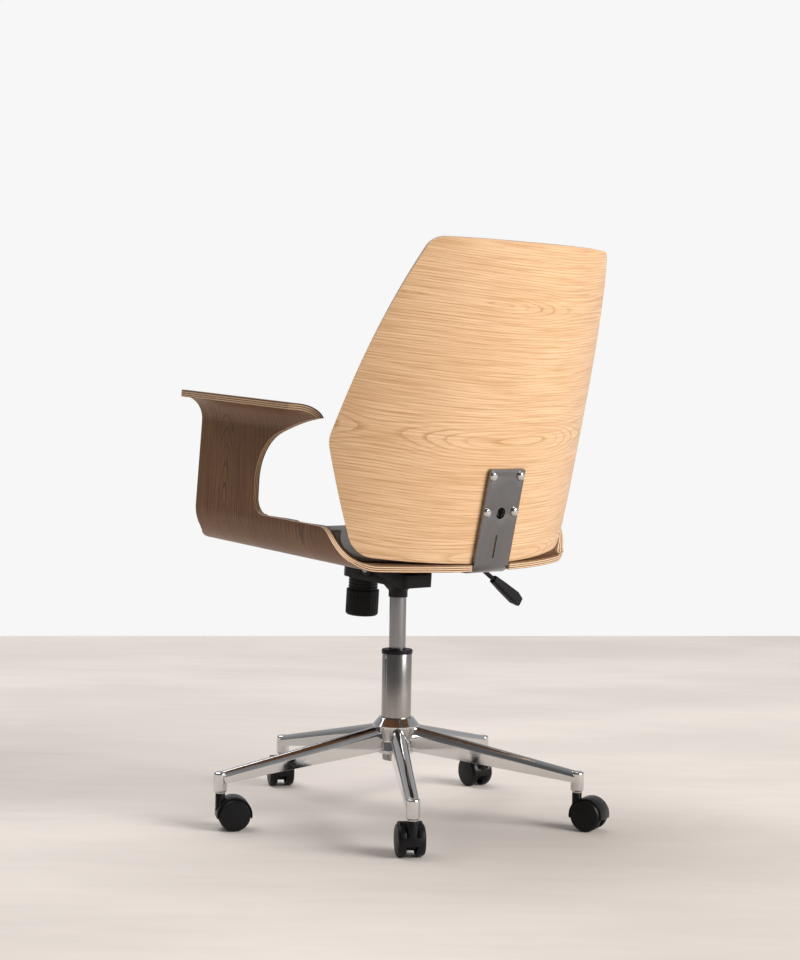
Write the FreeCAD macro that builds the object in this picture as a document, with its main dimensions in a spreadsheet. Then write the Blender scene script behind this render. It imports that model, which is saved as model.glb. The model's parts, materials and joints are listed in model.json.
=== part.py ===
"""Desk chair with a bentwood seat and back, leather cushions and a five-star base.

The front faces -Y, the sitter's left is +X and +Z is up.  The origin is on the
floor, on the axis of the gas column.  Lengths are in millimetres.
"""
import FreeCAD, Part
import math
import os
import re
import Sketcher

Vector = FreeCAD.Vector
LEGS = 5

# Driving dimensions: name, value, meaning
SIZES = [
    # Fits
    ("fit_gap", 0.05, "radial clearance of a running fit"),
    ("seat_gap", 0.3, "clearance between parts that lie on each other"),
    # Seat frame: the plane of the seat shell's underside
    ("seat_height", 446.7, "seat shell's underside over the column axis"),
    ("seat_tilt", 3.6, "backward slope of the seat at rest"),
    # Star base
    ("star_radius", 308, "column axis to caster stem"),
    ("leg_first_angle", 54, "direction of the first leg, from +X"),
    ("leg_root", 27, "where a leg starts, from the column axis"),
    ("leg_root_width", 28, "leg width at the hub"),
    ("leg_root_top", 157.8, "height of the leg's top at the hub"),
    ("leg_root_bottom", 115.7, "height of the leg's underside at the hub"),
    ("leg_tip_width", 21, "leg width at the caster socket"),
    ("leg_tip_top", 95.2, "height of the leg's top at the socket"),
    ("leg_tip_bottom", 77, "height of the leg's underside at the socket"),
    ("leg_wall", 2.2, "wall of the pressed leg"),
    ("socket_radius", 11, "caster socket"),
    ("socket_foot", 63, "height of the socket's mouth"),
    ("socket_edge", 1.5, "chamfer round the socket's mouth"),
    ("socket_dome", 4, "rounding of the socket's closed end"),
    ("stem_depth", 23, "depth of the stem bore"),
    ("hub_top", 170, "top of the hub"),
    ("hub_crown", 29, "hub radius at its top"),
    ("hub_rim", 39.5, "largest hub radius"),
    ("hub_rim_height", 157, "height of the largest hub radius"),
    ("hub_rim_edge", 4, "height of the rim's edge"),
    ("hub_waist", 30, "hub radius at its waist"),
    ("hub_waist_height", 134, "height of the waist"),
    ("hub_foot_radius", 33, "hub radius at its foot"),
    ("hub_foot", 110, "height of the hub's foot"),
    ("hub_foot_edge", 3, "chamfer at the hub's foot"),
    # Column
    ("tube_radius", 25, "column tube"),
    ("tube_wall", 2, "wall of the column tube"),
    ("tube_foot_radius", 22, "tube radius at its foot, below the taper"),
    ("tube_foot", 98, "height of the tube's foot"),
    ("tube_floor", 3, "plate that closes the tube's foot"),
    ("tube_top", 281, "top of the column tube"),
    ("dimple_radius", 1.6, "lock hole of the guide bush"),
    ("dimple_drop", 14, "lock hole below the tube's top"),
    ("bush_length", 38, "guide bush inside the tube"),
    ("bush_cap", 3, "bush above the tube"),
    ("bush_skirt", 4, "bush over the outside of the tube"),
    ("bush_wall", 1, "wall of the bush's skirt"),
    ("cylinder_radius", 14, "gas cylinder"),
    ("cylinder_drop", 36.7, "top of the cylinder's taper below the seat's frame"),
    ("cylinder_top", "=seat_height - cylinder_drop", "height of the top of the cylinder's taper"),
    ("cylinder_length", 195, "gas cylinder"),
    ("cylinder_foot", "=cylinder_top - cylinder_length", "height of the cylinder's foot"),
    ("cylinder_guide", 12, "rod guide in the cylinder's foot"),
    ("cylinder_bore", 11.5, "bore of the cylinder"),
    ("chamber_drop", 58, "top of the bore below the cylinder's top"),
    ("cylinder_chamber_top", "=cylinder_top - chamber_drop", "height of the top of the bore"),
    ("taper_slope", 0.026, "radius lost for each unit of taper length"),
    ("rod_radius", 5, "piston rod"),
    ("rod_foot", 93, "foot of the piston rod"),
    ("piston_height", 10, "piston"),
    ("piston_lift", 3, "piston above the rod guide"),
    ("bearing_radius", 15, "thrust bearing"),
    ("bearing_height", 6, "thrust bearing"),
    ("shoulder_radius", 8, "rod shoulder on the bearing"),
    ("shoulder_height", 5, "rod shoulder on the bearing"),
    ("washer_radius", 12, "washer under the tube's foot"),
    ("washer_height", 1.4, "washer under the tube's foot"),
    ("clip_radius", 9, "retaining clip"),
    ("clip_height", 1.5, "retaining clip"),
    ("pin_radius", 3, "release pin"),
    ("pin_drop", 12, "foot of the release pin below the cylinder's top"),
    ("pin_foot", "=cylinder_top - pin_drop", "height of the release pin's foot"),
    ("pin_room", 3, "room below the release pin"),
    # Casters
    ("wheel_radius", 26, "caster wheel"),
    ("caster_trail", 22, "stem axis to axle"),
    ("caster_half_width", 22.8, "middle of the caster to a wheel's outer face"),
    ("wheel_inner", 8.4, "middle of the caster to a wheel's inner face"),
    ("wheel_rim", 3.5, "thickness of the wheel's rim"),
    ("wheel_recess", 7.6, "depth of the recess in a wheel"),
    ("wheel_boss", 8, "radius of a wheel's hub"),
    ("wheel_dome", 2.6, "rounding of the tread's outer edge"),
    ("wheel_face", 9, "radius of the flat middle of a wheel's outer face"),
    ("axle_radius", 3, "caster axle"),
    ("axle_half", 17.6, "half the axle's length"),
    ("hood_gap", 1, "wheel to hood"),
    ("hood_wall", 1.8, "wall of the hood"),
    ("hood_half", 18, "half the hood's width"),
    ("hood_ends", 21, "height of the hood's two ends"),
    ("web_half", 6, "half the thickness of the web between the wheels"),
    ("web_foot", 12, "height of the web's underside"),
    ("web_foot_half", 12, "half the length of the web's underside"),
    ("neck_radius", 8, "caster neck"),
    ("neck_top", 60, "top of the caster neck"),
    ("neck_foot", 34, "bottom of the stem's bore in the neck"),
    ("notch_radius", 9.6, "notch in the hood round the neck"),
    ("stem_radius", 5.5, "caster stem"),
    # Mechanism, measured in the seat frame
    ("pan_half", 32, "half the width of the mechanism pan"),
    ("pan_wall", 2.5, "pan sheet"),
    ("pan_front", 118, "front of the pan, forward of the column"),
    ("pan_back", 55, "back of the pan"),
    ("pan_depth", 52.5, "pan's floor below the seat shell"),
    ("pan_rise", 6, "top of the pan's front below the seat shell"),
    ("pan_back_rise", 32, "top of the pan's back below the seat shell"),
    ("pan_corner", 26, "corner radius of the pan's front"),
    ("pan_back_corner", 8, "corner radius of the pan's back"),
    ("collar_radius", 16, "taper collar"),
    ("collar_drop", 3, "top of the collar below the cylinder's top"),
    ("collar_top", "=cylinder_top - collar_drop", "height of the collar's top"),
    ("collar_length", 35, "taper collar"),
    ("collar_foot", "=collar_top - collar_length", "height of the collar's foot"),
    ("collar_straight", 11, "straight part of the collar"),
    ("collar_flare", 24, "collar radius under the pan"),
    ("collar_inside", 18, "collar radius inside the pan"),
    ("pivot_forward", 40, "tilt pivot forward of the column"),
    ("pivot_drop", 30, "tilt pivot below the seat shell"),
    ("pivot_radius", 5, "tilt pivot pin"),
    ("pivot_head", 8, "pivot pin head"),
    ("pivot_head_height", 3, "pivot pin head"),
    ("plate_half", 75, "half the width of the seat plate"),
    ("plate_front", 122, "front of the seat plate"),
    ("plate_back", 52, "back of the seat plate"),
    ("plate_wall", 3, "seat plate sheet"),
    ("plate_corner", 12, "corner radius of the seat plate"),
    ("ear_radius", 14, "ear of the seat plate round the pivot"),
    ("ear_half_foot", 24, "half the length of an ear at the plate"),
    ("yoke_half", 24, "half the width of the bolt yoke"),
    ("yoke_long", 16, "half the length of the bolt yoke"),
    ("yoke_depth", 16, "yoke's floor below the seat shell"),
    ("yoke_wall", 3.5, "yoke sheet"),
    ("yoke_slot", 7, "extra length of the yoke's slot"),
    ("bolt_forward", 87, "tension bolt forward of the column"),
    ("bolt_radius", 5, "tension bolt"),
    ("bolt_head_radius", 8.5, "tension bolt head"),
    ("bolt_head_height", 5, "tension bolt head"),
    ("cup_radius", 24.6, "spring cup"),
    ("cup_wall", 1.8, "wall of the spring cup"),
    ("cup_flange", 26, "flange of the spring cup"),
    ("cup_flange_height", 2, "flange of the spring cup"),
    ("cup_foot", 80, "foot of the spring cup below the seat shell"),
    ("cup_rib", 0.9, "height of a rib round the cup"),
    ("cup_rib_pitch", 5, "rib to rib"),
    ("knob_radius", 28, "tension knob"),
    ("knob_wall", 2.1, "wall of the tension knob"),
    ("knob_top", 75, "knob's rim below the seat shell"),
    ("knob_foot", 119, "knob's foot below the seat shell"),
    ("knob_floor", 5, "floor of the knob"),
    ("knob_round", 5, "rounding of the knob's foot"),
    ("knob_flute", 1.1, "radius of a grip flute"),
    ("knob_flutes", 28, "number of grip flutes"),
    ("spring_radius", 18.2, "mean radius of the tension spring"),
    ("spring_wire", 2.2, "radius of the spring wire"),
    ("spring_washer_radius", 21, "washer under the spring"),
    ("spring_washer_height", 2, "washer under the spring"),
    # Lever
    ("lever_drop", 27.7, "lever rod's inner part below the seat's frame"),
    ("lever_height", "=seat_height - lever_drop", "height of the lever rod's inner part"),
    ("lever_radius", 4, "lever rod"),
    ("lever_inner", 16, "rod past the column, on the sitter's left"),
    ("lever_bend", 180, "column to the rod's bend"),
    ("lever_droop", 34, "slope of the lever's outer part"),
    ("lever_bend_radius", 18, "bend of the rod's centre line"),
    ("lever_outer", 84, "sloping rod, from the bend's corner"),
    ("ball_radius", 8, "lever's pivot ball"),
    ("handle_start", 50, "handle, from the bend's corner"),
    ("handle_length", 78, "lever handle"),
    ("handle_neck", 7, "handle radius at the rod"),
    ("handle_half_width", 8, "half the handle's greatest width"),
    ("handle_half_height", 11.5, "half the handle's greatest height"),
    # Seat shell, in the seat frame
    ("ply", 11, "thickness of the bentwood"),
    ("shell_half", 257, "half the width over the arm panels"),
    ("shell_bend", 60, "outer radius of the side bends"),
    ("shell_front", 256, "front corners of the seat"),
    ("shell_front_arc", 1100, "plan radius of the hollow front edge"),
    ("shell_shoulder", 234, "front of the side bends"),
    ("shell_shoulder_in", 19, "turn of the front edge inside the seat's side"),
    ("shell_shoulder_half", "=shell_half - shell_shoulder_in", "half the width where the front edge turns"),
    ("shell_front_in", 57, "front corner inside the seat's side"),
    ("shell_front_half", "=shell_half - shell_front_in", "half the width of the seat's front edge"),
    ("shell_back", 225, "back of the seat at its middle"),
    ("shell_back_arc", 430, "plan radius of the back edge"),
    ("arm_front", 229, "front edge of the arm panel at its foot"),
    ("arm_front_high", 220, "the same edge at the top of the pad"),
    ("pad_front", 217, "front of the arm pad at its outer edge"),
    ("pad_flat", 8, "flat of an arm pad past its bend"),
    ("pad_half", "=shell_half + pad_bend + pad_flat", "half the width over the arm pads"),
    ("pad_top", 252.9, "top of the arm pads"),
    ("pad_bend", 40, "inner radius of the bend below the pad"),
    ("pad_back", 69, "back end of the arm pad at its outer edge"),
    ("pad_tip", 97, "back end of the arm pad at the bend"),
    ("pad_tip_out", 5, "those tips outside the seat's side"),
    ("pad_tip_half", "=shell_half + pad_tip_out", "half the width over those tips"),
    ("pad_end_arc", 80, "plan radius of the pad's back end"),
    ("window_front", 71.3, "back edge of the arm panel, forward of the column"),
    ("window_arc", 91, "radius of the arm's upper curve"),
    ("window_arc_height", 116, "height of that curve's centre"),
    ("window_end_height", 200, "height where that curve ends"),
    ("window_tip_height", 231.5, "height of the cut at the pad's tip"),
    ("window_tip_arc", 460, "radius of the cut under the pad"),
    ("window_foot_arc", 27, "radius of the arm's lower curve"),
    ("wall_height", 63.8, "top of the side walls"),
    ("wall_flat", 100, "back end of the walls' level rim"),
    ("wall_end_arc", 30, "rounding at the back of the side walls"),
    ("wall_slope", 55, "slope of the walls' back ends"),
    ("wall_toe_arc", 25, "hollow at the foot of that slope"),
    ("wall_toe", 1, "end of that hollow above the bottom of the shell"),
    ("notch_half", 41, "half the width of the notch for the bracket"),
    ("notch_depth", 203, "front of the notch"),
    # Back, in the back frame
    ("back_foot", 218.9, "back shell's outer face behind the column, at its foot"),
    ("back_drop", 2.1, "foot of the back shell below the seat's frame"),
    ("back_height", "=seat_height - back_drop", "height of the back shell's foot"),
    ("back_recline", 13, "slope of the back from upright"),
    ("back_radius", 392, "plan radius of the back's outer face"),
    ("back_length", 513, "length of the back along its slope"),
    ("back_foot_in", 32.3, "corner of the back's foot inside the seat's side"),
    ("back_foot_half", "=shell_half - back_foot_in", "half the width at the foot"),
    ("back_wide_out", 19, "widest point of the back outside the seat's side"),
    ("back_wide_half", "=shell_half + back_wide_out", "half the width at the widest"),
    ("back_wide_height", 173, "widest point above the foot"),
    ("back_top_in", 67.2, "corner of the back's top inside the seat's side"),
    ("back_top_half", "=shell_half - back_top_in", "half the width at the top"),
    ("back_top_rise", 9, "the middle of the top above its corners"),
    ("back_side_arc", 1880, "radius of the upper side edges, where they pass the outer face"),
    ("back_side_arc_in", 3000, "the same, half way to the axis of the bend"),
    ("back_wide_round", 45, "rounding of the widest corners"),
    ("back_top_round", 34, "rounding of the top corners"),
    ("back_foot_round", 46, "rounding of the foot's corners"),
    # Bracket
    ("bracket_half", 38, "half the bracket's width"),
    ("bracket_wall", 5, "bracket plate"),
    ("bracket_bend", 15, "inner radius of the bend"),
    ("bracket_reach", 62, "front end of the bracket's foot"),
    ("bracket_top", 156, "top of the bracket above the back's foot"),
    ("bracket_corner", 4, "corner radius"),
    ("bracket_hole", 9.5, "radius of the round hole"),
    ("bracket_hole_height", 84, "round hole above the back's foot"),
    ("bracket_slot_half", 1.8, "half the width of the slot"),
    ("bracket_slot_low", 10, "foot of the slot"),
    ("bracket_slot_high", 48, "top of the slot"),
    ("screw_half", 30, "half the distance between the screw columns"),
    ("screw_low", 86, "lower screws above the back's foot"),
    ("screw_pitch", 59, "lower screws to upper screws"),
    ("screw_radius", 3.2, "screw shank"),
    ("screw_head", 7.6, "screw head"),
    ("screw_head_height", 4.6, "screw head"),
    ("foot_bolt_back", 143, "back pair of the bracket's foot bolts"),
    ("foot_bolt_pitch", 61, "back pair to front pair"),
    ("plate_bolt_half", 60, "half the distance between the plate bolt columns"),
    ("plate_bolt_front", 104, "front plate bolts"),
    ("plate_bolt_pitch", 138, "front plate bolts to back ones"),
    ("bolt_head", 7.5, "head of a seat bolt"),
    ("bolt_head_thick", 4.2, "head of a seat bolt"),
    ("nut_flange", 9.4, "flange of a tee nut"),
    ("nut_flange_height", 1.4, "flange of a tee nut"),
    ("nut_barrel", 4.6, "barrel of a tee nut"),
    # Cushions
    ("cushion_gap", 0.4, "cushion to bentwood"),
    ("cushion_front", 230, "front of the seat cushion"),
    ("cushion_floor", 13, "thickness of the seat cushion on the seat"),
    ("cushion_side", 13, "thickness of the seat cushion on the walls"),
    ("cushion_top", 61, "height where the cushion's edge on the walls starts to round"),
    ("cushion_crown", 2, "crown of the seat cushion"),
    ("cushion_bend", 29, "inner bend of the seat cushion"),
    ("cushion_fall", 60, "length of the rounded front of the cushion's sides"),
    ("cushion_drop", 45, "height of the seat cushion's edge at the back shell"),
    ("back_pad_inset", 9, "back cushion inside the back shell's edge"),
    ("back_pad_foot", 96, "foot of the back cushion above the back's foot"),
    ("back_pad_edge", 24, "thickness of the back cushion at its sides"),
    ("back_pad_middle", 40, "thickness of the back cushion at its middle"),
]

# How near an edge lies to the spot where it is looked for
NEAR = 0.01

# Direction in which each caster trails in the rest pose, from +X
CASTER_HEADINGS = [238.7, 110.7, 259.7, 241.7, 150.7]

doc = FreeCAD.newDocument("desk_chair")
sheet = doc.addObject("Spreadsheet::Sheet", "Sizes")
for row, (alias, number, meaning) in enumerate(SIZES, 1):
    sheet.set("A%d" % row, alias)
    sheet.set("B%d" % row, str(number))
    sheet.set("C%d" % row, meaning)
    sheet.setAlias("B%d" % row, alias)
doc.recompute()

ALIASES = {alias for alias, number, meaning in SIZES}
parts = []


def bound(text):
    """An expression in plain names, as the document's expression."""
    return re.sub(r"[a-z_]+", lambda m: "Sizes." + m.group(0) if m.group(0) in ALIASES else m.group(0), str(text))


def value(text):
    """The present value of an expression."""
    return float(sheet.evalExpression(bound(text)))


def is_driven(text):
    """Whether an expression reads the sheet."""
    return "Sizes." in bound(text)


def drive(thing, target, text):
    """Bind a property of a feature to an expression."""
    thing.setExpression(target, bound(text))


def new_body(label, place=None):
    """A body with its own label; place is a function that puts it in a frame."""
    body = doc.addObject("PartDesign::Body", label)
    body.Label = label
    if place:
        place(body)
    parts.append(body)
    return body


def seat_frame(body):
    """The frame of the seat: the shell's underside over the column, sloping back."""
    body.Placement = FreeCAD.Placement(Vector(0, 0, 1), FreeCAD.Rotation(Vector(1, 0, 0), -1))
    drive(body, "Placement.Base.z", "seat_height")
    drive(body, "Placement.Rotation.Angle", "-seat_tilt")


def back_frame(body):
    """The frame of the back: the outer face's foot, with Z along the slope."""
    body.Placement = FreeCAD.Placement(Vector(0, 1, 1), FreeCAD.Rotation(Vector(1, 0, 0), -1))
    drive(body, "Placement.Base.y", "back_foot")
    drive(body, "Placement.Base.z", "back_height")
    drive(body, "Placement.Rotation.Angle", "-back_recline")


def upright_at(x, y, heading):
    """A frame on the floor at x and y, turned by heading degrees."""
    def place(body):
        body.Placement = FreeCAD.Placement(Vector(1, 1, 0), FreeCAD.Rotation(Vector(0, 0, 1), 1))
        drive(body, "Placement.Base.x", x)
        drive(body, "Placement.Base.y", y)
        drive(body, "Placement.Rotation.Angle", heading)
    return place


def origin_of(body, role):
    """One of the body's own origin planes or axes."""
    return [f for f in body.Origin.OriginFeatures if f.Role == role][0]


def sketch_on(body, name, plane, lift=None, slope=None):
    """An empty sketch on an origin plane, lifted off it and turned in it if asked."""
    sketch = body.newObject("Sketcher::SketchObject", name)
    sketch.AttachmentSupport = [(origin_of(body, plane), "")]
    sketch.MapMode = "FlatFace"
    if slope is not None:
        sketch.AttachmentOffset = FreeCAD.Placement(Vector(), FreeCAD.Rotation(Vector(0, 0, 1), 1))
        drive(sketch, "AttachmentOffset.Rotation.Angle", slope)
    if lift is not None:
        drive(sketch, "AttachmentOffset.Base.z", lift)
    return sketch


def dimension(sketch, kind, geometry, point, text):
    """One driving dimension of a sketch."""
    if point is None:
        index = sketch.addConstraint(Sketcher.Constraint(kind, geometry, value(text)))
    else:
        index = sketch.addConstraint(Sketcher.Constraint(kind, geometry, point, value(text)))
    if is_driven(text):
        name = "%s_%d" % (kind.lower(), index)
        sketch.renameConstraint(index, name)
        drive(sketch, "Constraints." + name, text)


def outline(sketch, corners):
    """A closed line through corners.

    A corner is (x, y), or (x, y, radius, side) where an arc runs to the next
    corner with its centre on that side, left or right.
    """
    count = len(corners)
    spots = [Vector(value(c[0]), value(c[1]), 0) for c in corners]
    starts = []
    ends = []
    for i, corner in enumerate(corners):
        start = spots[i]
        end = spots[(i + 1) % count]
        if len(corner) == 2:
            index = sketch.addGeometry(Part.LineSegment(start, end))
            starts.append((index, 1))
            ends.append((index, 2))
            continue
        radius = value(corner[2])
        left = corner[3] == "left"
        chord = end - start
        side = Vector(-chord.y, chord.x, 0).normalize() * (1 if left else -1)
        centre = (start + end) * 0.5 + side * math.sqrt(radius ** 2 - (chord.Length / 2) ** 2)
        first, last = (start, end) if left else (end, start)
        low = math.atan2(first.y - centre.y, first.x - centre.x)
        high = math.atan2(last.y - centre.y, last.x - centre.x)
        if high < low:
            high += 2 * math.pi
        circle = Part.Circle(centre, Vector(0, 0, 1), radius)
        index = sketch.addGeometry(Part.ArcOfCircle(circle, low, high))
        starts.append((index, 1 if left else 2))
        ends.append((index, 2 if left else 1))
        dimension(sketch, "Radius", index, None, corner[2])
    for i, corner in enumerate(corners):
        geometry, point = starts[i]
        sketch.addConstraint(Sketcher.Constraint("Coincident", *ends[i - 1], geometry, point))
        dimension(sketch, "DistanceX", geometry, point, corner[0])
        dimension(sketch, "DistanceY", geometry, point, corner[1])


def ring(sketch, x, y, radius):
    """A circle."""
    centre = Vector(value(x), value(y), 0)
    index = sketch.addGeometry(Part.Circle(centre, Vector(0, 0, 1), value(radius)))
    dimension(sketch, "Radius", index, None, radius)
    dimension(sketch, "DistanceX", index, 3, x)
    dimension(sketch, "DistanceY", index, 3, y)


def mirrored(corners):
    """The corners of a right half, followed by those of its mirror image."""
    left = []
    count = len(corners)
    for i in range(count - 1, -1, -1):
        corner = corners[i]
        way = corners[i - 1][2:] if i > 0 and len(corners[i - 1]) == 4 else ()
        left.append(("-(%s)" % corner[0], corner[1]) + tuple(way))
    return list(corners) + left


def pad(body, sketch, length, symmetric=False, back=False):
    """Thicken a sketch into the body."""
    feature = body.newObject("PartDesign::Pad", sketch.Name + "_pad")
    feature.Profile = sketch
    feature.SideType = "Symmetric" if symmetric else "One side"
    feature.Reversed = back
    drive(feature, "Length", length)
    return feature


def cut(body, sketch, length=None, symmetric=False, back=False):
    """Cut a sketch out of the body, through all of it where no length is given."""
    feature = body.newObject("PartDesign::Pocket", sketch.Name + "_cut")
    feature.Profile = sketch
    feature.SideType = "Symmetric" if symmetric else "One side"
    feature.Reversed = back
    if length is None:
        feature.Type = "ThroughAll"
    else:
        drive(feature, "Length", length)
    return feature


def lathe(body, sketch, groove=False, axis="V_Axis"):
    """Turn a sketch about one of its own axes, to add or to cut."""
    kind = "PartDesign::Groove" if groove else "PartDesign::Revolution"
    feature = body.newObject(kind, sketch.Name + "_turn")
    feature.Profile = sketch
    feature.ReferenceAxis = (sketch, [axis])
    feature.Angle = 360
    return feature


def axis_line(body, name, plane, x, lift=None):
    """A line in a plane, along the plane's second axis, to turn an outline about."""
    sketch = sketch_on(body, name, plane, lift)
    index = sketch.addGeometry(Part.LineSegment(Vector(1, -1, 0), Vector(1, 1, 0)))
    for point, y in ((1, "-1"), (2, "1")):
        dimension(sketch, "DistanceX", index, point, x)
        dimension(sketch, "DistanceY", index, point, y)
    return sketch


def turn_about(body, sketch, line):
    """Turn a sketch about a line of another sketch."""
    feature = body.newObject("PartDesign::Revolution", sketch.Name + "_turn")
    feature.Profile = sketch
    feature.ReferenceAxis = (line, ["Edge1"])
    feature.Angle = 360
    body.Tip = feature
    return feature


def turned(label, corners, place=None, plane="XZ_Plane", axis="V_Axis", slope=None, lift=None):
    """A body that is one turned outline."""
    body = new_body(label, place)
    sketch = sketch_on(body, label + "_outline", plane, lift, slope)
    outline(sketch, corners)
    lathe(body, sketch, axis=axis)
    return body


def edge_names(shape, test):
    """The names of the edges that pass a test on their middle and direction."""
    names = []
    for index, edge in enumerate(shape.Edges, 1):
        middle = edge.valueAt((edge.FirstParameter + edge.LastParameter) / 2)
        if test(edge, middle):
            names.append("Edge%d" % index)
    return names


def fillet(body, base, test, radius, name):
    """Round the edges of a feature that pass a test, in the body's own frame."""
    doc.recompute()
    feature = body.newObject("PartDesign::Fillet", name)
    feature.Base = (base, edge_names(base.Shape, test))
    drive(feature, "Radius", radius)
    return feature


def grid(body, feature, columns, rows):
    """Repeat a feature along two axes; each is (axis, spacing, reversed)."""
    pattern = body.newObject("PartDesign::MultiTransform", feature.Name + "_grid")
    pattern.Originals = [feature]
    steps = []
    for number, (axis, spacing, reverse) in enumerate((columns, rows)):
        step = body.newObject("PartDesign::LinearPattern", "%s_row_%d" % (feature.Name, number))
        step.Direction = (origin_of(body, axis), [""])
        step.Reversed = reverse
        step.Occurrences = 2
        drive(step, "Length", spacing)
        steps.append(step)
    pattern.Transformations = steps
    body.Tip = pattern
    return pattern


# Star base

TUBE_SLOPE = "(tube_radius - tube_foot_radius) / (hub_top - tube_foot)"
HUB_BORE_FOOT = "tube_foot_radius + fit_gap + %s * (hub_foot - tube_foot)" % TUBE_SLOPE


def make_hub():
    """The turned hub with its rim, waist and tapered bore."""
    return turned("base_hub", [
        (HUB_BORE_FOOT, "hub_foot"),
        ("hub_foot_radius - hub_foot_edge", "hub_foot"),
        ("hub_foot_radius", "hub_foot + hub_foot_edge"),
        ("hub_waist", "hub_waist_height"),
        ("hub_rim", "hub_rim_height - hub_rim_edge"),
        ("hub_rim", "hub_rim_height"),
        ("hub_crown", "hub_top"),
        ("tube_radius + fit_gap", "hub_top"),
    ])


def leg_section(body, name, lift, half, bottom, top):
    """A section of a leg: upright sides and a round back."""
    sketch = sketch_on(body, name, "YZ_Plane", lift)
    outline(sketch, [
        ("-(%s)" % half, bottom),
        (half, bottom),
        (half, "%s - (%s)" % (top, half), half, "left"),
        ("0", top, half, "left"),
        ("-(%s)" % half, "%s - (%s)" % (top, half)),
    ])
    return sketch


def make_leg(number, hub):
    """A pressed leg, open below, with its caster socket, trimmed to the hub."""
    heading = "leg_first_angle + %d" % (number * 360 // LEGS)
    body = doc.addObject("PartDesign::Body", "leg_blank_%d" % (number + 1))
    upright_at("0", "0", heading)(body)
    tag = "leg_%d" % (number + 1)
    root = leg_section(body, tag + "_root", "leg_root", "leg_root_width / 2", "leg_root_bottom", "leg_root_top")
    tip = leg_section(body, tag + "_tip", "star_radius", "leg_tip_width / 2", "leg_tip_bottom", "leg_tip_top")
    loft = body.newObject("PartDesign::AdditiveLoft", tag + "_loft")
    loft.Profile = root
    loft.Sections = [tip]
    loft.Ruled = True
    inner_tip = "star_radius - socket_radius - leg_wall"
    inner_root = leg_section(body, tag + "_inner_root", "leg_root - leg_wall", "leg_root_width / 2 - leg_wall",
                             "leg_root_bottom - leg_wall", "leg_root_top - leg_wall")
    inner_end = leg_section(body, tag + "_inner_tip", inner_tip, "leg_tip_width / 2 - leg_wall",
                            "leg_tip_bottom - leg_wall", "leg_tip_top - leg_wall")
    hollow = body.newObject("PartDesign::SubtractiveLoft", tag + "_hollow")
    hollow.Profile = inner_root
    hollow.Sections = [inner_end]
    hollow.Ruled = True
    socket = sketch_on(body, tag + "_socket", "XZ_Plane")
    top = "leg_tip_top - seat_gap"
    outline(socket, [
        ("star_radius", "socket_foot"),
        ("star_radius + socket_radius - socket_edge", "socket_foot"),
        ("star_radius + socket_radius", "socket_foot + socket_edge"),
        ("star_radius + socket_radius", top + " - socket_dome", "socket_dome", "left"),
        ("star_radius + socket_radius - socket_dome", top),
        ("star_radius", top),
    ])
    turn_about(body, socket, axis_line(body, tag + "_socket_axis", "XZ_Plane", "star_radius"))
    bore = sketch_on(body, tag + "_bore", "XY_Plane", "socket_foot")
    ring(bore, "star_radius", "0", "stem_radius + fit_gap")
    cut(body, bore, "stem_depth", back=True)
    leg = doc.addObject("Part::Cut", "star_leg_%d" % (number + 1))
    leg.Label = "star_leg_%d" % (number + 1)
    leg.Base = body
    leg.Tool = hub
    parts.append(leg)


def make_column():
    """Column tube, guide bush, thrust bearing and washer, which stay with the base."""
    tube = turned("column_tube", [
        ("rod_radius + fit_gap", "tube_foot"),
        ("tube_foot_radius", "tube_foot"),
        ("tube_radius", "hub_top"),
        ("tube_radius", "tube_top"),
        ("tube_radius - tube_wall", "tube_top"),
        ("tube_radius - tube_wall", "hub_top"),
        ("tube_foot_radius - tube_wall", "tube_foot + tube_floor"),
        ("rod_radius + fit_gap", "tube_foot + tube_floor"),
    ])
    hole = sketch_on(tube, "bush_lock", "YZ_Plane")
    ring(hole, "0", "tube_top - dimple_drop", "dimple_radius")
    cut(tube, hole, "tube_radius + tube_wall", back=True)
    turned("guide_bush", [
        ("cylinder_radius + fit_gap", "tube_top - bush_length"),
        ("tube_radius - tube_wall - fit_gap", "tube_top - bush_length"),
        ("tube_radius - tube_wall - fit_gap", "tube_top + fit_gap"),
        ("tube_radius + fit_gap", "tube_top + fit_gap"),
        ("tube_radius + fit_gap", "tube_top - bush_skirt"),
        ("tube_radius + bush_wall", "tube_top - bush_skirt"),
        ("tube_radius + bush_wall", "tube_top + bush_cap - bush_wall"),
        ("tube_radius", "tube_top + bush_cap"),
        ("cylinder_radius + fit_gap", "tube_top + bush_cap"),
    ])
    turned("thrust_bearing", [
        ("rod_radius + fit_gap", "tube_foot + tube_floor + fit_gap"),
        ("bearing_radius", "tube_foot + tube_floor + fit_gap"),
        ("bearing_radius", "tube_foot + tube_floor + bearing_height"),
        ("rod_radius + fit_gap", "tube_foot + tube_floor + bearing_height"),
    ])
    turned("foot_washer", [
        ("rod_radius + fit_gap", "tube_foot - fit_gap - washer_height"),
        ("washer_radius", "tube_foot - fit_gap - washer_height"),
        ("washer_radius", "tube_foot - fit_gap"),
        ("rod_radius + fit_gap", "tube_foot - fit_gap"),
    ])


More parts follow.
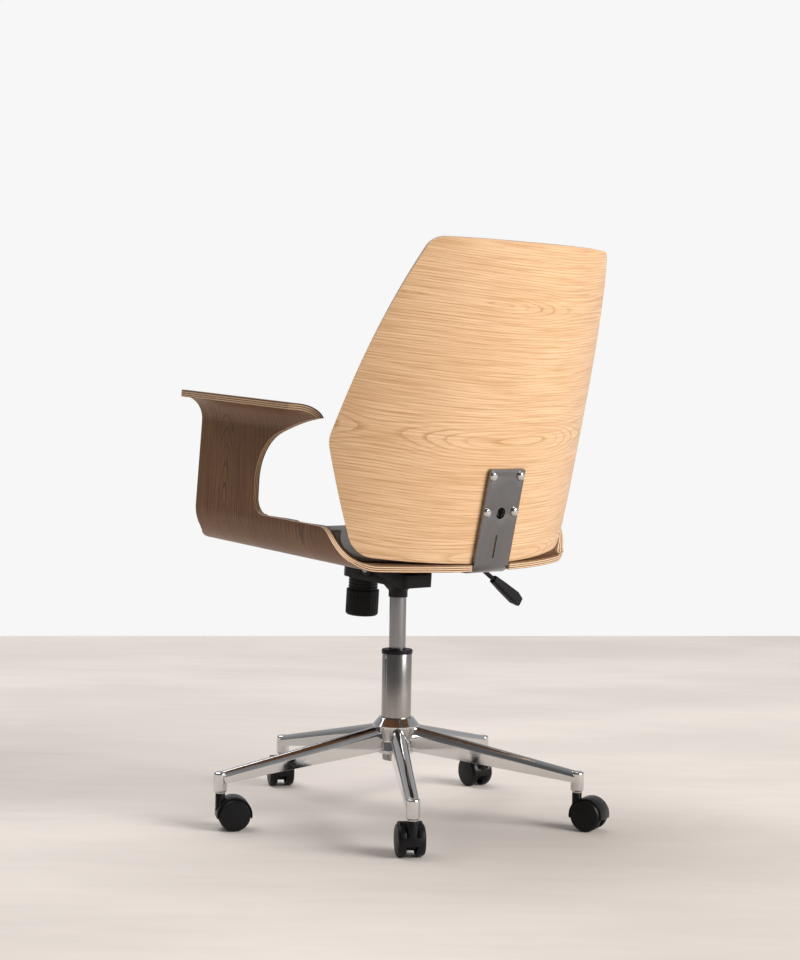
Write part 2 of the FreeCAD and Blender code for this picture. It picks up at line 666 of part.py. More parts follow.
def make_piston():
    """Piston rod with its shoulder and piston, and the clip that holds its foot."""
    shoulder = "tube_foot + tube_floor + bearing_height + fit_gap"
    head = "cylinder_foot + cylinder_guide + piston_lift"
    turned("piston_rod", [
        ("0", "rod_foot"),
        ("rod_radius", "rod_foot"),
        ("rod_radius", shoulder),
        ("shoulder_radius", shoulder),
        ("shoulder_radius", shoulder + " + shoulder_height"),
        ("rod_radius", shoulder + " + shoulder_height"),
        ("rod_radius", head),
        ("cylinder_bore - fit_gap", head),
        ("cylinder_bore - fit_gap", head + " + piston_height"),
        ("0", head + " + piston_height"),
    ])
    top = "tube_foot - 2 * fit_gap - washer_height"
    turned("retaining_clip", [
        ("rod_radius", top + " - clip_height"),
        ("clip_radius", top + " - clip_height"),
        ("clip_radius", top),
        ("rod_radius", top),
    ])


def make_gas_cylinder():
    """The gas cylinder, its taper and the release pin in its top."""
    taper_top = "cylinder_radius - taper_slope * (cylinder_top - collar_foot)"
    turned("gas_cylinder", [
        ("rod_radius + fit_gap", "cylinder_foot"),
        ("cylinder_radius", "cylinder_foot"),
        ("cylinder_radius", "collar_foot"),
        (taper_top, "cylinder_top"),
        ("pin_radius + fit_gap", "cylinder_top"),
        ("pin_radius + fit_gap", "pin_foot - pin_room"),
        ("0", "pin_foot - pin_room"),
        ("0", "cylinder_chamber_top"),
        ("cylinder_bore", "cylinder_chamber_top"),
        ("cylinder_bore", "cylinder_foot + cylinder_guide"),
        ("rod_radius + fit_gap", "cylinder_foot + cylinder_guide"),
    ])
    turned("release_pin", [
        ("0", "pin_foot"),
        ("pin_radius", "pin_foot"),
        ("pin_radius", "lever_height - lever_radius - seat_gap"),
        ("0", "lever_height - lever_radius - seat_gap"),
    ])


# Casters


def stem_place(number):
    """Where a caster's stem stands, as expressions."""
    angle = "(leg_first_angle + %d)" % (number * 360 // LEGS)
    return "star_radius * cos(%s)" % angle, "star_radius * sin(%s)" % angle


def make_caster(number):
    """Stem, housing, axle and two wheels; +X is the way the caster trails."""
    x, y = stem_place(number)
    place = upright_at(x, y, str(CASTER_HEADINGS[number]))
    tag = "_%d" % (number + 1)
    turned("caster_stem" + tag, [
        ("0", "neck_foot + seat_gap"),
        ("stem_radius", "neck_foot + seat_gap"),
        ("stem_radius", "neck_top + seat_gap"),
        ("neck_radius", "neck_top + seat_gap"),
        ("neck_radius", "socket_foot - fit_gap"),
        ("stem_radius", "socket_foot - fit_gap"),
        ("stem_radius", "socket_foot + stem_depth - seat_gap"),
        ("0", "socket_foot + stem_depth - seat_gap"),
    ], place)
    make_caster_housing("caster_housing" + tag, place)
    axle = new_body("caster_axle" + tag, place)
    bar = sketch_on(axle, "axle" + tag, "XZ_Plane")
    ring(bar, "caster_trail", "wheel_radius", "axle_radius")
    pad(axle, bar, "2 * axle_half", symmetric=True)
    make_wheel("caster_wheel_left" + tag, place, 1)
    make_wheel("caster_wheel_right" + tag, place, -1)


def make_caster_housing(label, place):
    """The hood over both wheels, the web between them and the neck."""
    body = new_body(label, place)
    inner = "(wheel_radius + hood_gap)"
    outer = "(wheel_radius + hood_gap + hood_wall)"
    end = "(wheel_radius - hood_ends)"
    hood = sketch_on(body, label + "_hood", "XZ_Plane")
    outline(hood, [
        ("caster_trail + sqrt(%s^2 - %s^2)" % (inner, end), "hood_ends"),
        ("caster_trail + sqrt(%s^2 - %s^2)" % (outer, end), "hood_ends", outer, "left"),
        ("caster_trail", "wheel_radius + %s" % outer, outer, "left"),
        ("caster_trail - sqrt(%s^2 - %s^2)" % (outer, end), "hood_ends"),
        ("caster_trail - sqrt(%s^2 - %s^2)" % (inner, end), "hood_ends", inner, "right"),
        ("caster_trail", "wheel_radius + %s" % inner, inner, "right"),
    ])
    pad(body, hood, "2 * hood_half", symmetric=True)
    notch = sketch_on(body, label + "_notch", "XY_Plane", "neck_foot")
    outline(notch, [
        ("-wheel_radius", "-notch_radius"),
        ("0", "-notch_radius", "notch_radius", "left"),
        ("notch_radius", "0", "notch_radius", "left"),
        ("0", "notch_radius"),
        ("-wheel_radius", "notch_radius"),
    ])
    cut(body, notch, "wheel_radius", back=True)
    web = sketch_on(body, label + "_web", "XZ_Plane")
    outline(web, [
        ("caster_trail + web_foot_half", "web_foot"),
        ("caster_trail + sqrt(%s^2 - %s^2)" % (inner, end), "hood_ends", inner, "left"),
        ("caster_trail", "wheel_radius + %s" % inner, inner, "left"),
        ("caster_trail - sqrt(%s^2 - %s^2)" % (inner, end), "hood_ends"),
        ("caster_trail - web_foot_half", "web_foot"),
    ])
    pad(body, web, "2 * web_half", symmetric=True)
    neck = sketch_on(body, label + "_neck", "XY_Plane", "neck_foot - hood_wall")
    ring(neck, "0", "0", "neck_radius")
    pad(body, neck, "neck_top - neck_foot + hood_wall")
    boss = sketch_on(body, label + "_boss", "XZ_Plane")
    ring(boss, "caster_trail", "wheel_radius", "wheel_boss")
    pad(body, boss, "2 * (wheel_inner - seat_gap)", symmetric=True)
    stem = sketch_on(body, label + "_stem", "XY_Plane", "neck_foot")
    ring(stem, "0", "0", "stem_radius + fit_gap")
    cut(body, stem, "neck_top", back=True)
    axle = sketch_on(body, label + "_axle", "XZ_Plane")
    ring(axle, "caster_trail", "wheel_radius", "axle_radius + fit_gap")
    cut(body, axle, symmetric=True)


def make_wheel(label, place, side):
    """A wheel with a recessed inner side and a domed outer face."""
    body = new_body(label, place)
    sketch = sketch_on(body, label + "_outline", "XY_Plane", "wheel_radius")
    across = "%d * " % side
    middle = "caster_trail"
    recess = "wheel_inner + wheel_recess"
    blind = "axle_half + seat_gap"
    # The outline lies forward of the axle, at the axle's height
    corners = [
        ("axle_radius + fit_gap", "wheel_inner"),
        ("wheel_boss", "wheel_inner"),
        ("wheel_boss", recess),
        ("wheel_radius - wheel_rim", recess),
        ("wheel_radius - wheel_rim", "wheel_inner"),
        ("wheel_radius - wheel_dome / 2", "wheel_inner"),
        ("wheel_radius", "wheel_inner + wheel_dome / 2"),
        ("wheel_radius", "caster_half_width - 2 * wheel_dome"),
        ("wheel_radius - wheel_dome", "caster_half_width - wheel_dome / 2"),
        ("wheel_face", "caster_half_width"),
        ("0", "caster_half_width"),
        ("0", blind),
        ("axle_radius + fit_gap", blind),
    ]
    outline(sketch, [("%s + %s" % (middle, r), across + "(%s)" % a) for r, a in corners])
    turn_about(body, sketch, axis_line(body, label + "_axis", "XY_Plane", middle, "wheel_radius"))


# Tilt mechanism, in the seat frame


def pan_outline(sketch, half, front, back, front_round, back_round):
    """The plan of the pan: a rounded front and small back corners."""
    outline(sketch, mirrored([
        ("%s - %s" % (half, front_round), "-(%s)" % front, front_round, "left"),
        (half, "-(%s) + %s" % (front, front_round)),
        (half, "%s - %s" % (back, back_round), back_round, "left"),
        ("%s - %s" % (half, back_round), back),
    ]))


def make_housing():
    """The pressed pan, its taper collar and its holes."""
    body = new_body("tilt_housing", seat_frame)
    plan = sketch_on(body, "pan_plan", "XY_Plane", "-pan_depth")
    pan_outline(plan, "pan_half", "pan_front", "pan_back", "pan_corner", "pan_back_corner")
    pad(body, plan, "pan_depth - pan_rise")
    inside = sketch_on(body, "pan_inside", "XY_Plane", "pan_wall - pan_depth")
    pan_outline(inside, "(pan_half - pan_wall)", "pan_front - pan_wall", "pan_back - pan_wall",
                "(pan_corner - pan_wall)", "(pan_back_corner - pan_wall)")
    cut(body, inside, "pan_depth", back=True)
    slope = sketch_on(body, "pan_slope", "YZ_Plane")
    outline(slope, [
        ("-pivot_forward", "-pan_rise"),
        ("pan_back + pan_wall", "-pan_back_rise"),
        ("pan_back + pan_wall", "pan_wall"),
        ("-pivot_forward", "pan_wall"),
    ])
    cut(body, slope, symmetric=True)
    collar = sketch_on(body, "collar", "YZ_Plane", slope="seat_tilt")
    under_pan = "-pan_depth + pan_wall / 2"
    outline(collar, [
        ("0", "collar_foot - seat_height"),
        ("collar_radius", "collar_foot - seat_height"),
        ("collar_radius", "collar_foot - seat_height + collar_straight"),
        ("collar_flare", "-pan_depth - pan_wall"),
        ("collar_flare", under_pan),
        ("collar_inside", under_pan),
        ("collar_inside", "collar_top - seat_height"),
        ("0", "collar_top - seat_height"),
    ])
    lathe(body, collar)
    bore = sketch_on(body, "collar_bore", "YZ_Plane", slope="seat_tilt")
    foot = "collar_foot - seat_height - pan_wall"
    top = "collar_top - seat_height + pan_wall"
    outline(bore, [
        ("0", foot),
        ("cylinder_radius + fit_gap + taper_slope * pan_wall", foot),
        ("cylinder_radius + fit_gap - taper_slope * (collar_top - collar_foot + pan_wall)", top),
        ("0", top),
    ])
    lathe(body, bore, groove=True)
    pivot = sketch_on(body, "pivot_holes", "YZ_Plane")
    ring(pivot, "-pivot_forward", "-pivot_drop", "pivot_radius + fit_gap")
    cut(body, pivot, symmetric=True)
    ball = sketch_on(body, "ball_hole", "YZ_Plane", slope="seat_tilt")
    ring(ball, "0", "lever_height - seat_height", "ball_radius + fit_gap")
    cut(body, ball, "2 * pan_half")
    cup = sketch_on(body, "cup_hole", "XY_Plane", "-pan_depth - pan_wall")
    ring(cup, "0", "-bolt_forward", "cup_radius + fit_gap")
    cut(body, cup, "2 * pan_wall + pan_wall / 2", back=True)


def make_pivot():
    """The pin on which the seat plate tilts."""
    body = new_body("pivot_pin", seat_frame)
    outer = "pan_half + seat_gap + plate_wall + seat_gap"
    shank = sketch_on(body, "pivot_shank", "YZ_Plane")
    ring(shank, "-pivot_forward", "-pivot_drop", "pivot_radius")
    pad(body, shank, "2 * (%s)" % outer, symmetric=True)
    for name, lift, back in (("pivot_head_left", outer, False), ("pivot_head_right", "-(%s)" % outer, True)):
        head = sketch_on(body, name, "YZ_Plane", lift)
        ring(head, "-pivot_forward", "-pivot_drop", "pivot_head")
        pad(body, head, "pivot_head_height", back=back)


def make_seat_plate():
    """The plate under the seat shell, with two pivot ears and the bolt yoke."""
    body = new_body("seat_plate", seat_frame)
    plan = sketch_on(body, "plate_plan", "XY_Plane", "-plate_wall")
    pan_outline(plan, "plate_half", "plate_front", "plate_back", "plate_corner", "plate_corner")
    pad(body, plan, "plate_wall")
    ear = "pan_half + seat_gap"
    for name, lift, back in (("ear_left", ear, False), ("ear_right", "-(%s)" % ear, True)):
        sketch = sketch_on(body, name, "YZ_Plane", lift)
        outline(sketch, [
            ("-pivot_forward - ear_half_foot", "-plate_wall / 2"),
            ("-pivot_forward - ear_radius", "-pivot_drop", "ear_radius", "left"),
            ("-pivot_forward", "-pivot_drop - ear_radius", "ear_radius", "left"),
            ("-pivot_forward + ear_radius", "-pivot_drop"),
            ("-pivot_forward + ear_half_foot", "-plate_wall / 2"),
        ])
        pad(body, sketch, "plate_wall", back=back)
    yoke = sketch_on(body, "yoke", "XZ_Plane", "bolt_forward")
    outline(yoke, mirrored([
        ("yoke_half", "-yoke_depth"),
        ("yoke_half", "-plate_wall / 2"),
        ("yoke_half - yoke_wall", "-plate_wall / 2"),
        ("yoke_half - yoke_wall", "yoke_wall - yoke_depth"),
    ]))
    pad(body, yoke, "2 * yoke_long", symmetric=True)
    slot = sketch_on(body, "yoke_slot", "XY_Plane", "-yoke_depth - yoke_wall")
    half = "bolt_radius + seat_gap"
    outline(slot, mirrored([
        (half, "-bolt_forward - yoke_slot - bolt_radius"),
        (half, "-bolt_forward + (%s)" % half),
    ]))
    cut(body, slot, "yoke_depth", back=True)
    pivot = sketch_on(body, "ear_holes", "YZ_Plane")
    ring(pivot, "-pivot_forward", "-pivot_drop", "pivot_radius + fit_gap")
    cut(body, pivot, symmetric=True)
    holes = sketch_on(body, "plate_holes", "XY_Plane", "-plate_wall")
    ring(holes, "plate_bolt_half", "-plate_bolt_front", "screw_radius + seat_gap")
    first = cut(body, holes, "plate_wall", back=True)
    grid(body, first, ("X_Axis", "2 * plate_bolt_half", True), ("Y_Axis", "plate_bolt_pitch", False))


def on_bolt(corners):
    """Turned outline corners, measured down from the seat shell."""
    return [(r, "-(%s)" % drop) for r, drop in corners]


def bolt_line(body):
    """The frame of the tension bolt: the seat frame, moved forward to the bolt."""
    seat_frame(body)
    drive(body, "Placement.Base.y", "-bolt_forward * cos(seat_tilt)")
    drive(body, "Placement.Base.z", "seat_height + bolt_forward * sin(seat_tilt)")


def make_tension():
    """Spring cup, bolt, washer and knob, all turned about the tension bolt's line."""
    floor = "pan_depth - pan_wall - fit_gap"
    ribs = []
    for number in range(4):
        start = "pan_depth + cup_rib_pitch * %d" % number
        ribs += [
            ("cup_radius", start + " + cup_rib_pitch / 4"),
            ("cup_radius + cup_rib", start + " + cup_rib_pitch / 2"),
            ("cup_radius", start + " + 3 * cup_rib_pitch / 4"),
        ]
    turned("spring_cup", on_bolt([
        ("bolt_radius + seat_gap", floor + " - cup_flange_height"),
        ("cup_flange", floor + " - cup_flange_height"),
        ("cup_flange", floor),
        ("cup_radius", floor),
    ] + ribs + [
        ("cup_radius", "cup_foot"),
        ("cup_radius - cup_wall", "cup_foot"),
        ("cup_radius - cup_wall", floor),
        ("bolt_radius + seat_gap", floor),
    ]), bolt_line)
    head = "yoke_depth - yoke_wall - seat_gap"
    turned("tension_bolt", on_bolt([
        ("0", head + " - bolt_head_height"),
        ("bolt_head_radius", head + " - bolt_head_height"),
        ("bolt_head_radius", head),
        ("bolt_radius", head),
        ("bolt_radius", "knob_foot - seat_gap"),
        ("0", "knob_foot - seat_gap"),
    ]), bolt_line)
    washer = "knob_foot - knob_floor - fit_gap"
    turned("spring_washer", on_bolt([
        ("bolt_radius + fit_gap", washer + " - spring_washer_height"),
        ("spring_washer_radius", washer + " - spring_washer_height"),
        ("spring_washer_radius", washer),
        ("bolt_radius + fit_gap", washer),
    ]), bolt_line)
    make_knob()


def make_knob():
    """The fluted tension knob."""
    body = new_body("tension_knob", bolt_line)
    sketch = sketch_on(body, "knob_outline", "XZ_Plane")
    outline(sketch, on_bolt([
        ("knob_radius - knob_wall", "knob_top"),
        ("knob_radius - knob_wall", "knob_foot - knob_floor"),
        ("bolt_radius + fit_gap", "knob_foot - knob_floor"),
        ("bolt_radius + fit_gap", "knob_foot"),
    ]) + [
        ("knob_radius - knob_round", "-knob_foot", "knob_round", "left"),
        ("knob_radius", "knob_round - knob_foot"),
        ("knob_radius", "-knob_top"),
    ])
    lathe(body, sketch)
    flute = sketch_on(body, "knob_flute", "XY_Plane", "-knob_foot - knob_wall")
    ring(flute, "knob_radius + knob_flute / 3", "0", "knob_flute")
    groove = cut(body, flute, "knob_foot - knob_top - knob_round", back=True)
    pattern = body.newObject("PartDesign::PolarPattern", "knob_flutes")
    pattern.Originals = [groove]
    pattern.Axis = (origin_of(body, "Z_Axis"), [""])
    pattern.Angle = 360
    drive(pattern, "Occurrences", "knob_flutes")
    body.Tip = pattern


def biarc(start, start_way, end, end_way):
    """Two arcs that join two points with the given directions."""
    chord = end - start
    both = start_way + end_way
    a = 2 * (1 - start_way.dot(end_way))
    b = 2 * chord.dot(both)
    c = -chord.dot(chord)
    reach = (-b + math.sqrt(b * b - 4 * a * c)) / (2 * a) if a > 1e-9 else -c / b
    first = start + start_way * reach
    last = end - end_way * reach
    joint = (first + last) * 0.5
    arcs = []
    for p, corner, q in ((start, first, joint), (joint, last, end)):
        # The arc's middle lies on the line from its centre to the corner
        half = (q - p) * 0.5
        middle = (p + q) * 0.5
        rise = corner - middle
        span = half.Length
        reach_up = rise.Length
        radius = span * math.hypot(span, reach_up) / reach_up
        bow = radius - math.sqrt(radius ** 2 - span ** 2)
        arcs.append(Part.Arc(p, middle + rise.normalize() * bow, q).toShape())
    return arcs


def make_spring():
    """The tension spring: one wire, closed up at both ends, in half turns of biarcs."""
    radius = value("spring_radius")
    wire = value("spring_wire")
    low = -value("knob_foot - knob_floor - spring_washer_height - 2 * fit_gap") + wire
    high = -value("pan_depth - pan_wall - fit_gap") - wire - value("fit_gap")
    turns = 7
    closed = 2 * wire + 2 * value("seat_gap")
    count = 2 * turns

    def height(step):
        """The wire's height: a close turn at each end, an even rise between."""
        turn = step / 2
        if turn <= 1:
            return low + closed * turn
        if turn >= turns - 1:
            return high - closed * (turns - turn)
        return low + closed + (high - low - 2 * closed) * (turn - 1) / (turns - 2)

    points = []
    ways = []
    for step in range(count + 1):
        angle = math.pi * step
        points.append(Vector(radius * math.cos(angle), radius * math.sin(angle), height(step)))
        before = height(max(step - 1, 0))
        after = height(min(step + 1, count))
        rise = (after - before) / (math.pi * (min(step + 1, count) - max(step - 1, 0)))
        ways.append(Vector(-radius * math.sin(angle), radius * math.cos(angle), rise).normalize())
    arcs = []
    for step in range(count):
        arcs += biarc(points[step], ways[step], points[step + 1], ways[step + 1])
    path = Part.Wire(arcs)
    round_wire = Part.Wire(Part.makeCircle(wire, points[0], ways[0]))
    coil = path.makePipeShell([round_wire], True, False)
    gap = min((height(step + 2) - height(step) for step in range(count - 1)), default=0) - 2 * wire
    print("tension spring: least gap between turns %.2f mm" % gap)
    spring = doc.addObject("Part::Feature", "tension_spring")
    spring.Label = "tension_spring"
    spring.Shape = coil
    slope = math.radians(value("seat_tilt"))
    forward = value("bolt_forward")
    spot = Vector(0, -forward * math.cos(slope), value("seat_height") + forward * math.sin(slope))
    spring.Placement = FreeCAD.Placement(spot, FreeCAD.Rotation(Vector(1, 0, 0), -value("seat_tilt")))
    parts.append(spring)


# Lever, upright frame


def make_lever():
    """Pivot ball, bent rod and moulded handle, on the sitter's right."""
    wall = "pan_half - pan_wall / 2"
    ball = new_body("lever_ball")
    sketch = sketch_on(ball, "ball_outline", "XZ_Plane")
    drive(sketch, "AttachmentOffset.Base.x", "-(%s)" % wall)
    drive(sketch, "AttachmentOffset.Base.y", "lever_height")
    bore = "(lever_radius + fit_gap)"
    reach = "sqrt(ball_radius^2 - %s^2)" % bore
    outline(sketch, [
        (reach, bore, "ball_radius", "left"),
        ("0", "ball_radius", "ball_radius", "left"),
        ("-(%s)" % reach, bore),
    ])
    lathe(ball, sketch, axis="H_Axis")
    rod = new_body("lever_rod")
    path = sketch_on(rod, "rod_path", "XZ_Plane")
    setback = "lever_bend_radius * tan(lever_droop / 2)"
    bend_start = "-lever_bend + (%s)" % setback
    bend_end_x = "-lever_bend - (%s) * cos(lever_droop)" % setback
    bend_end_z = "lever_height - (%s) * sin(lever_droop)" % setback
    end_x = "-lever_bend - lever_outer * cos(lever_droop)"
    end_z = "lever_height - lever_outer * sin(lever_droop)"
    open_path(path, [
        ("lever_inner", "lever_height"),
        (bend_start, "lever_height", "lever_bend_radius", "left"),
        (bend_end_x, bend_end_z),
        (end_x, end_z),
    ])
    section = sketch_on(rod, "rod_section", "YZ_Plane", "lever_inner")
    ring(section, "0", "lever_height", "lever_radius")
    pipe = rod.newObject("PartDesign::AdditivePipe", "rod_pipe")
    pipe.Profile = section
    pipe.Spine = (path, ["Edge1", "Edge2", "Edge3"])
    make_handle(end_x)


def open_path(sketch, corners):
    """An open line through corners, given as for an outline."""
    spots = [Vector(value(c[0]), value(c[1]), 0) for c in corners]
    last_end = None
    for i, corner in enumerate(corners[:-1]):
        start, end = spots[i], spots[i + 1]
        if len(corner) == 2:
            index = sketch.addGeometry(Part.LineSegment(start, end))
            begin, finish = (index, 1), (index, 2)
        else:
            radius = value(corner[2])
            left = corner[3] == "left"
            chord = end - start
            side = Vector(-chord.y, chord.x, 0).normalize() * (1 if left else -1)
            centre = (start + end) * 0.5 + side * math.sqrt(radius ** 2 - (chord.Length / 2) ** 2)
            first, last = (start, end) if left else (end, start)
            low = math.atan2(first.y - centre.y, first.x - centre.x)
            high = math.atan2(last.y - centre.y, last.x - centre.x)
            if high < low:
                high += 2 * math.pi
            index = sketch.addGeometry(Part.ArcOfCircle(Part.Circle(centre, Vector(0, 0, 1), radius), low, high))
            begin, finish = ((index, 1), (index, 2)) if left else ((index, 2), (index, 1))
            dimension(sketch, "Radius", index, None, corner[2])
        if last_end:
            sketch.addConstraint(Sketcher.Constraint("Coincident", *last_end, *begin))
        dimension(sketch, "DistanceX", begin[0], begin[1], corner[0])
        dimension(sketch, "DistanceY", begin[0], begin[1], corner[1])
        last_end = finish
    dimension(sketch, "DistanceX", last_end[0], last_end[1], corners[-1][0])
    dimension(sketch, "DistanceY", last_end[0], last_end[1], corners[-1][1])


def make_handle(rod_end):
    """The flat, widening handle on the rod's sloping end."""
    def place(body):
        body.Placement = FreeCAD.Placement(Vector(1, 0, 1), FreeCAD.Rotation(Vector(0, 1, 0), 1))
        drive(body, "Placement.Base.x", "-lever_bend")
        drive(body, "Placement.Base.z", "lever_height")
        drive(body, "Placement.Rotation.Angle", "-lever_droop")
    body = new_body("lever_handle", place)
    # Here -X runs out along the sloping part of the rod
    sections = []
    stations = (
        ("0", "handle_neck * 0.9", "handle_neck"),
        ("handle_length * 0.35", "handle_half_width", "handle_half_height * 0.8"),
        ("handle_length * 0.8", "handle_half_width", "handle_half_height"),
        ("handle_length", "handle_half_width * 0.62", "handle_half_height * 0.72"),
    )
    for number, (along, half, rise) in enumerate(stations):
        sketch = sketch_on(body, "handle_section_%d" % number, "YZ_Plane", "-handle_start - (%s)" % along)
        corner = "(%s) * 0.6" % half
        outline(sketch, [
            ("(%s) - %s" % (half, corner), "-(%s)" % rise, corner, "left"),
            (half, "-(%s) + %s" % (rise, corner)),
            (half, "(%s) - %s" % (rise, corner), corner, "left"),
            ("(%s) - %s" % (half, corner), rise),
            ("-(%s) + %s" % (half, corner), rise, corner, "left"),
            ("-(%s)" % half, "(%s) - %s" % (rise, corner)),
            ("-(%s)" % half, "-(%s) + %s" % (rise, corner), corner, "left"),
            ("-(%s) + %s" % (half, corner), "-(%s)" % rise),
        ])
        sections.append(sketch)
    loft = body.newObject("PartDesign::AdditiveLoft", "handle_loft")
    loft.Profile = sections[0]
    loft.Sections = sections[1:]
    loft.Ruled = True
    bore = sketch_on(body, "handle_bore", "YZ_Plane", "-handle_start")
    ring(bore, "0", "0", "lever_radius + fit_gap")
    cut(body, bore, "lever_outer - handle_start + seat_gap")


# Bentwood seat shell, in the seat frame


def make_seat_shell():
    """One sheet: the seat, its side walls, the arm panels and the arm pads."""
    body = new_body("seat_shell", seat_frame)
    section = sketch_on(body, "shell_section", "XZ_Plane")
    inner_bend = "(shell_bend - ply)"
    outer_pad_bend = "(pad_bend + ply)"
    bend_top = "pad_top - pad_bend - ply"
    outline(section, mirrored([
        ("shell_half - shell_bend", "0", "shell_bend", "left"),
        ("shell_half", "shell_bend"),
        ("shell_half", bend_top, "pad_bend", "right"),
        ("shell_half + pad_bend", "pad_top - ply"),
        ("pad_half", "pad_top - ply"),
        ("pad_half", "pad_top"),
        ("shell_half + pad_bend", "pad_top", outer_pad_bend, "left"),
        ("shell_half - ply", bend_top),
        ("shell_half - ply", "shell_bend", inner_bend, "right"),
        ("shell_half - shell_bend", "ply"),
    ]))
    pad(body, section, "shell_front * 2 + ply", symmetric=True)
    front = sketch_on(body, "shell_front_edge", "XY_Plane")
    beyond = "shell_front + 3 * ply"
    edge = mirrored([
        ("shell_front_half", "-shell_front", "shell_front_half * 0.28", "left"),
        ("shell_shoulder_half", "-shell_shoulder"),
        ("shell_half - ply", "-arm_front"),
        ("shell_half", "-arm_front"),
        ("pad_half", "-pad_front"),
        ("pad_half + ply", "-pad_front"),
        ("pad_half + ply", "-(%s)" % beyond),
    ])
    edge[-1] += ("shell_front_arc", "right")
    outline(front, edge)
    cut(body, front, symmetric=True)
    lean = sketch_on(body, "arm_front_edge", "YZ_Plane")
    outline(lean, [
        ("-arm_front", "shell_bend"),
        ("-arm_front_high", "pad_top + ply"),
        ("-arm_front - ply", "pad_top + ply"),
        ("-arm_front - ply", "shell_bend"),
    ])
    cut(body, lean, symmetric=True)
    back = sketch_on(body, "shell_back_edge", "XY_Plane")
    centre = "(shell_back - shell_back_arc)"
    side = "(pad_half + ply)"
    outline(back, [
        (side, "%s + sqrt(shell_back_arc^2 - %s^2)" % (centre, side)),
        (side, "shell_front + 3 * ply"),
        ("-%s" % side, "shell_front + 3 * ply"),
        ("-%s" % side, "%s + sqrt(shell_back_arc^2 - %s^2)" % (centre, side), "shell_back_arc", "right"),
        ("0", "shell_back", "shell_back_arc", "right"),
    ])
    cut(body, back, symmetric=True)
    window = sketch_on(body, "arm_window", "YZ_Plane")
    centre_y = "(window_arc - window_front)"
    rise = "(window_end_height - window_arc_height)"
    far = "shell_front + 3 * ply"
    hollow = "wall_toe_arc * (1 - cos(wall_slope))"
    fall_top = "wall_height - wall_end_arc * (1 - cos(wall_slope))"
    fall_foot = "(wall_flat + wall_end_arc * sin(wall_slope) + (%s - ply - wall_toe - %s) / tan(wall_slope))" % (
        fall_top, hollow)
    outline(window, [
        ("window_foot_arc - window_front", "wall_height"),
        ("wall_flat", "wall_height", "wall_end_arc", "right"),
        ("wall_flat + wall_end_arc * sin(wall_slope)", fall_top),
        (fall_foot, "ply + wall_toe + %s" % hollow, "wall_toe_arc", "left"),
        ("%s + wall_toe_arc * sin(wall_slope)" % fall_foot, "ply + wall_toe"),
        (far, "ply + wall_toe"),
        (far, "pad_top + ply"),
        ("pad_tip", "pad_top + ply"),
        ("pad_tip", "window_tip_height", "window_tip_arc", "left"),
        ("%s - sqrt(window_arc^2 - %s^2)" % (centre_y, rise), "window_end_height", "window_arc", "left"),
        ("-window_front", "window_arc_height"),
        ("-window_front", "wall_height + window_foot_arc", "window_foot_arc", "left"),
    ])
    cut(body, window, symmetric=True)
    for name, sign in (("pad_end_left", ""), ("pad_end_right", "-")):
        end = sketch_on(body, name, "XY_Plane", "window_arc_height")
        turn = "right" if sign else "left"
        tip = (sign + "pad_tip_half", "pad_tip")
        outer = (sign + "pad_half", "pad_back")
        past = [(sign + "(pad_half + ply)", "pad_back - ply"), (sign + "(pad_half + ply)", "pad_tip + ply")]
        ends = [outer + ("pad_end_arc", turn), tip, (tip[0], "pad_tip + ply"), past[1], past[0]]
        outline(end, ends)
        cut(body, end, back=True)
    notch = sketch_on(body, "bracket_notch", "XY_Plane")
    outline(notch, mirrored([
        ("notch_half", "notch_depth"),
        ("notch_half", "shell_back + ply"),
    ]))
    cut(body, notch, symmetric=True)
    drill_seat(body)


def drill_seat(body):
    """Bolt holes and tee nut seats in the bottom of the shell."""
    for name, x, y, rows in (
            ("plate_bolt_hole", "plate_bolt_half", "-plate_bolt_front", "plate_bolt_pitch"),
            ("foot_bolt_hole", "screw_half", "foot_bolt_back - foot_bolt_pitch", "foot_bolt_pitch")):
        for suffix, lift, radius, length in (
                ("_barrel", "0", "nut_barrel + fit_gap", "ply"),
                ("_seat", "ply - nut_flange_height - fit_gap", "nut_flange + fit_gap", "nut_flange_height * 2")):
            sketch = sketch_on(body, name + suffix, "XY_Plane", lift)
            ring(sketch, x, y, radius)
            first = cut(body, sketch, length, back=True)
            grid(body, first, ("X_Axis", "2 * (%s)" % x, True), ("Y_Axis", rows, False))


# Bentwood back shell, in the back frame


def sheet_section(sketch, side, outer, inner):
    """A curved strip in plan, as wide as two sides, between two radii about the back's axis."""
    outline(sketch, [
        ("-" + side, "sqrt(%s^2 - %s^2) - back_radius" % (inner, side), inner, "right"),
        ("0", "%s - back_radius" % inner, inner, "right"),
        (side, "sqrt(%s^2 - %s^2) - back_radius" % (inner, side)),
        (side, "sqrt(%s^2 - %s^2) - back_radius" % (outer, side), outer, "left"),
        ("0", "%s - back_radius" % outer, outer, "left"),
        ("-" + side, "sqrt(%s^2 - %s^2) - back_radius" % (outer, side)),
    ])


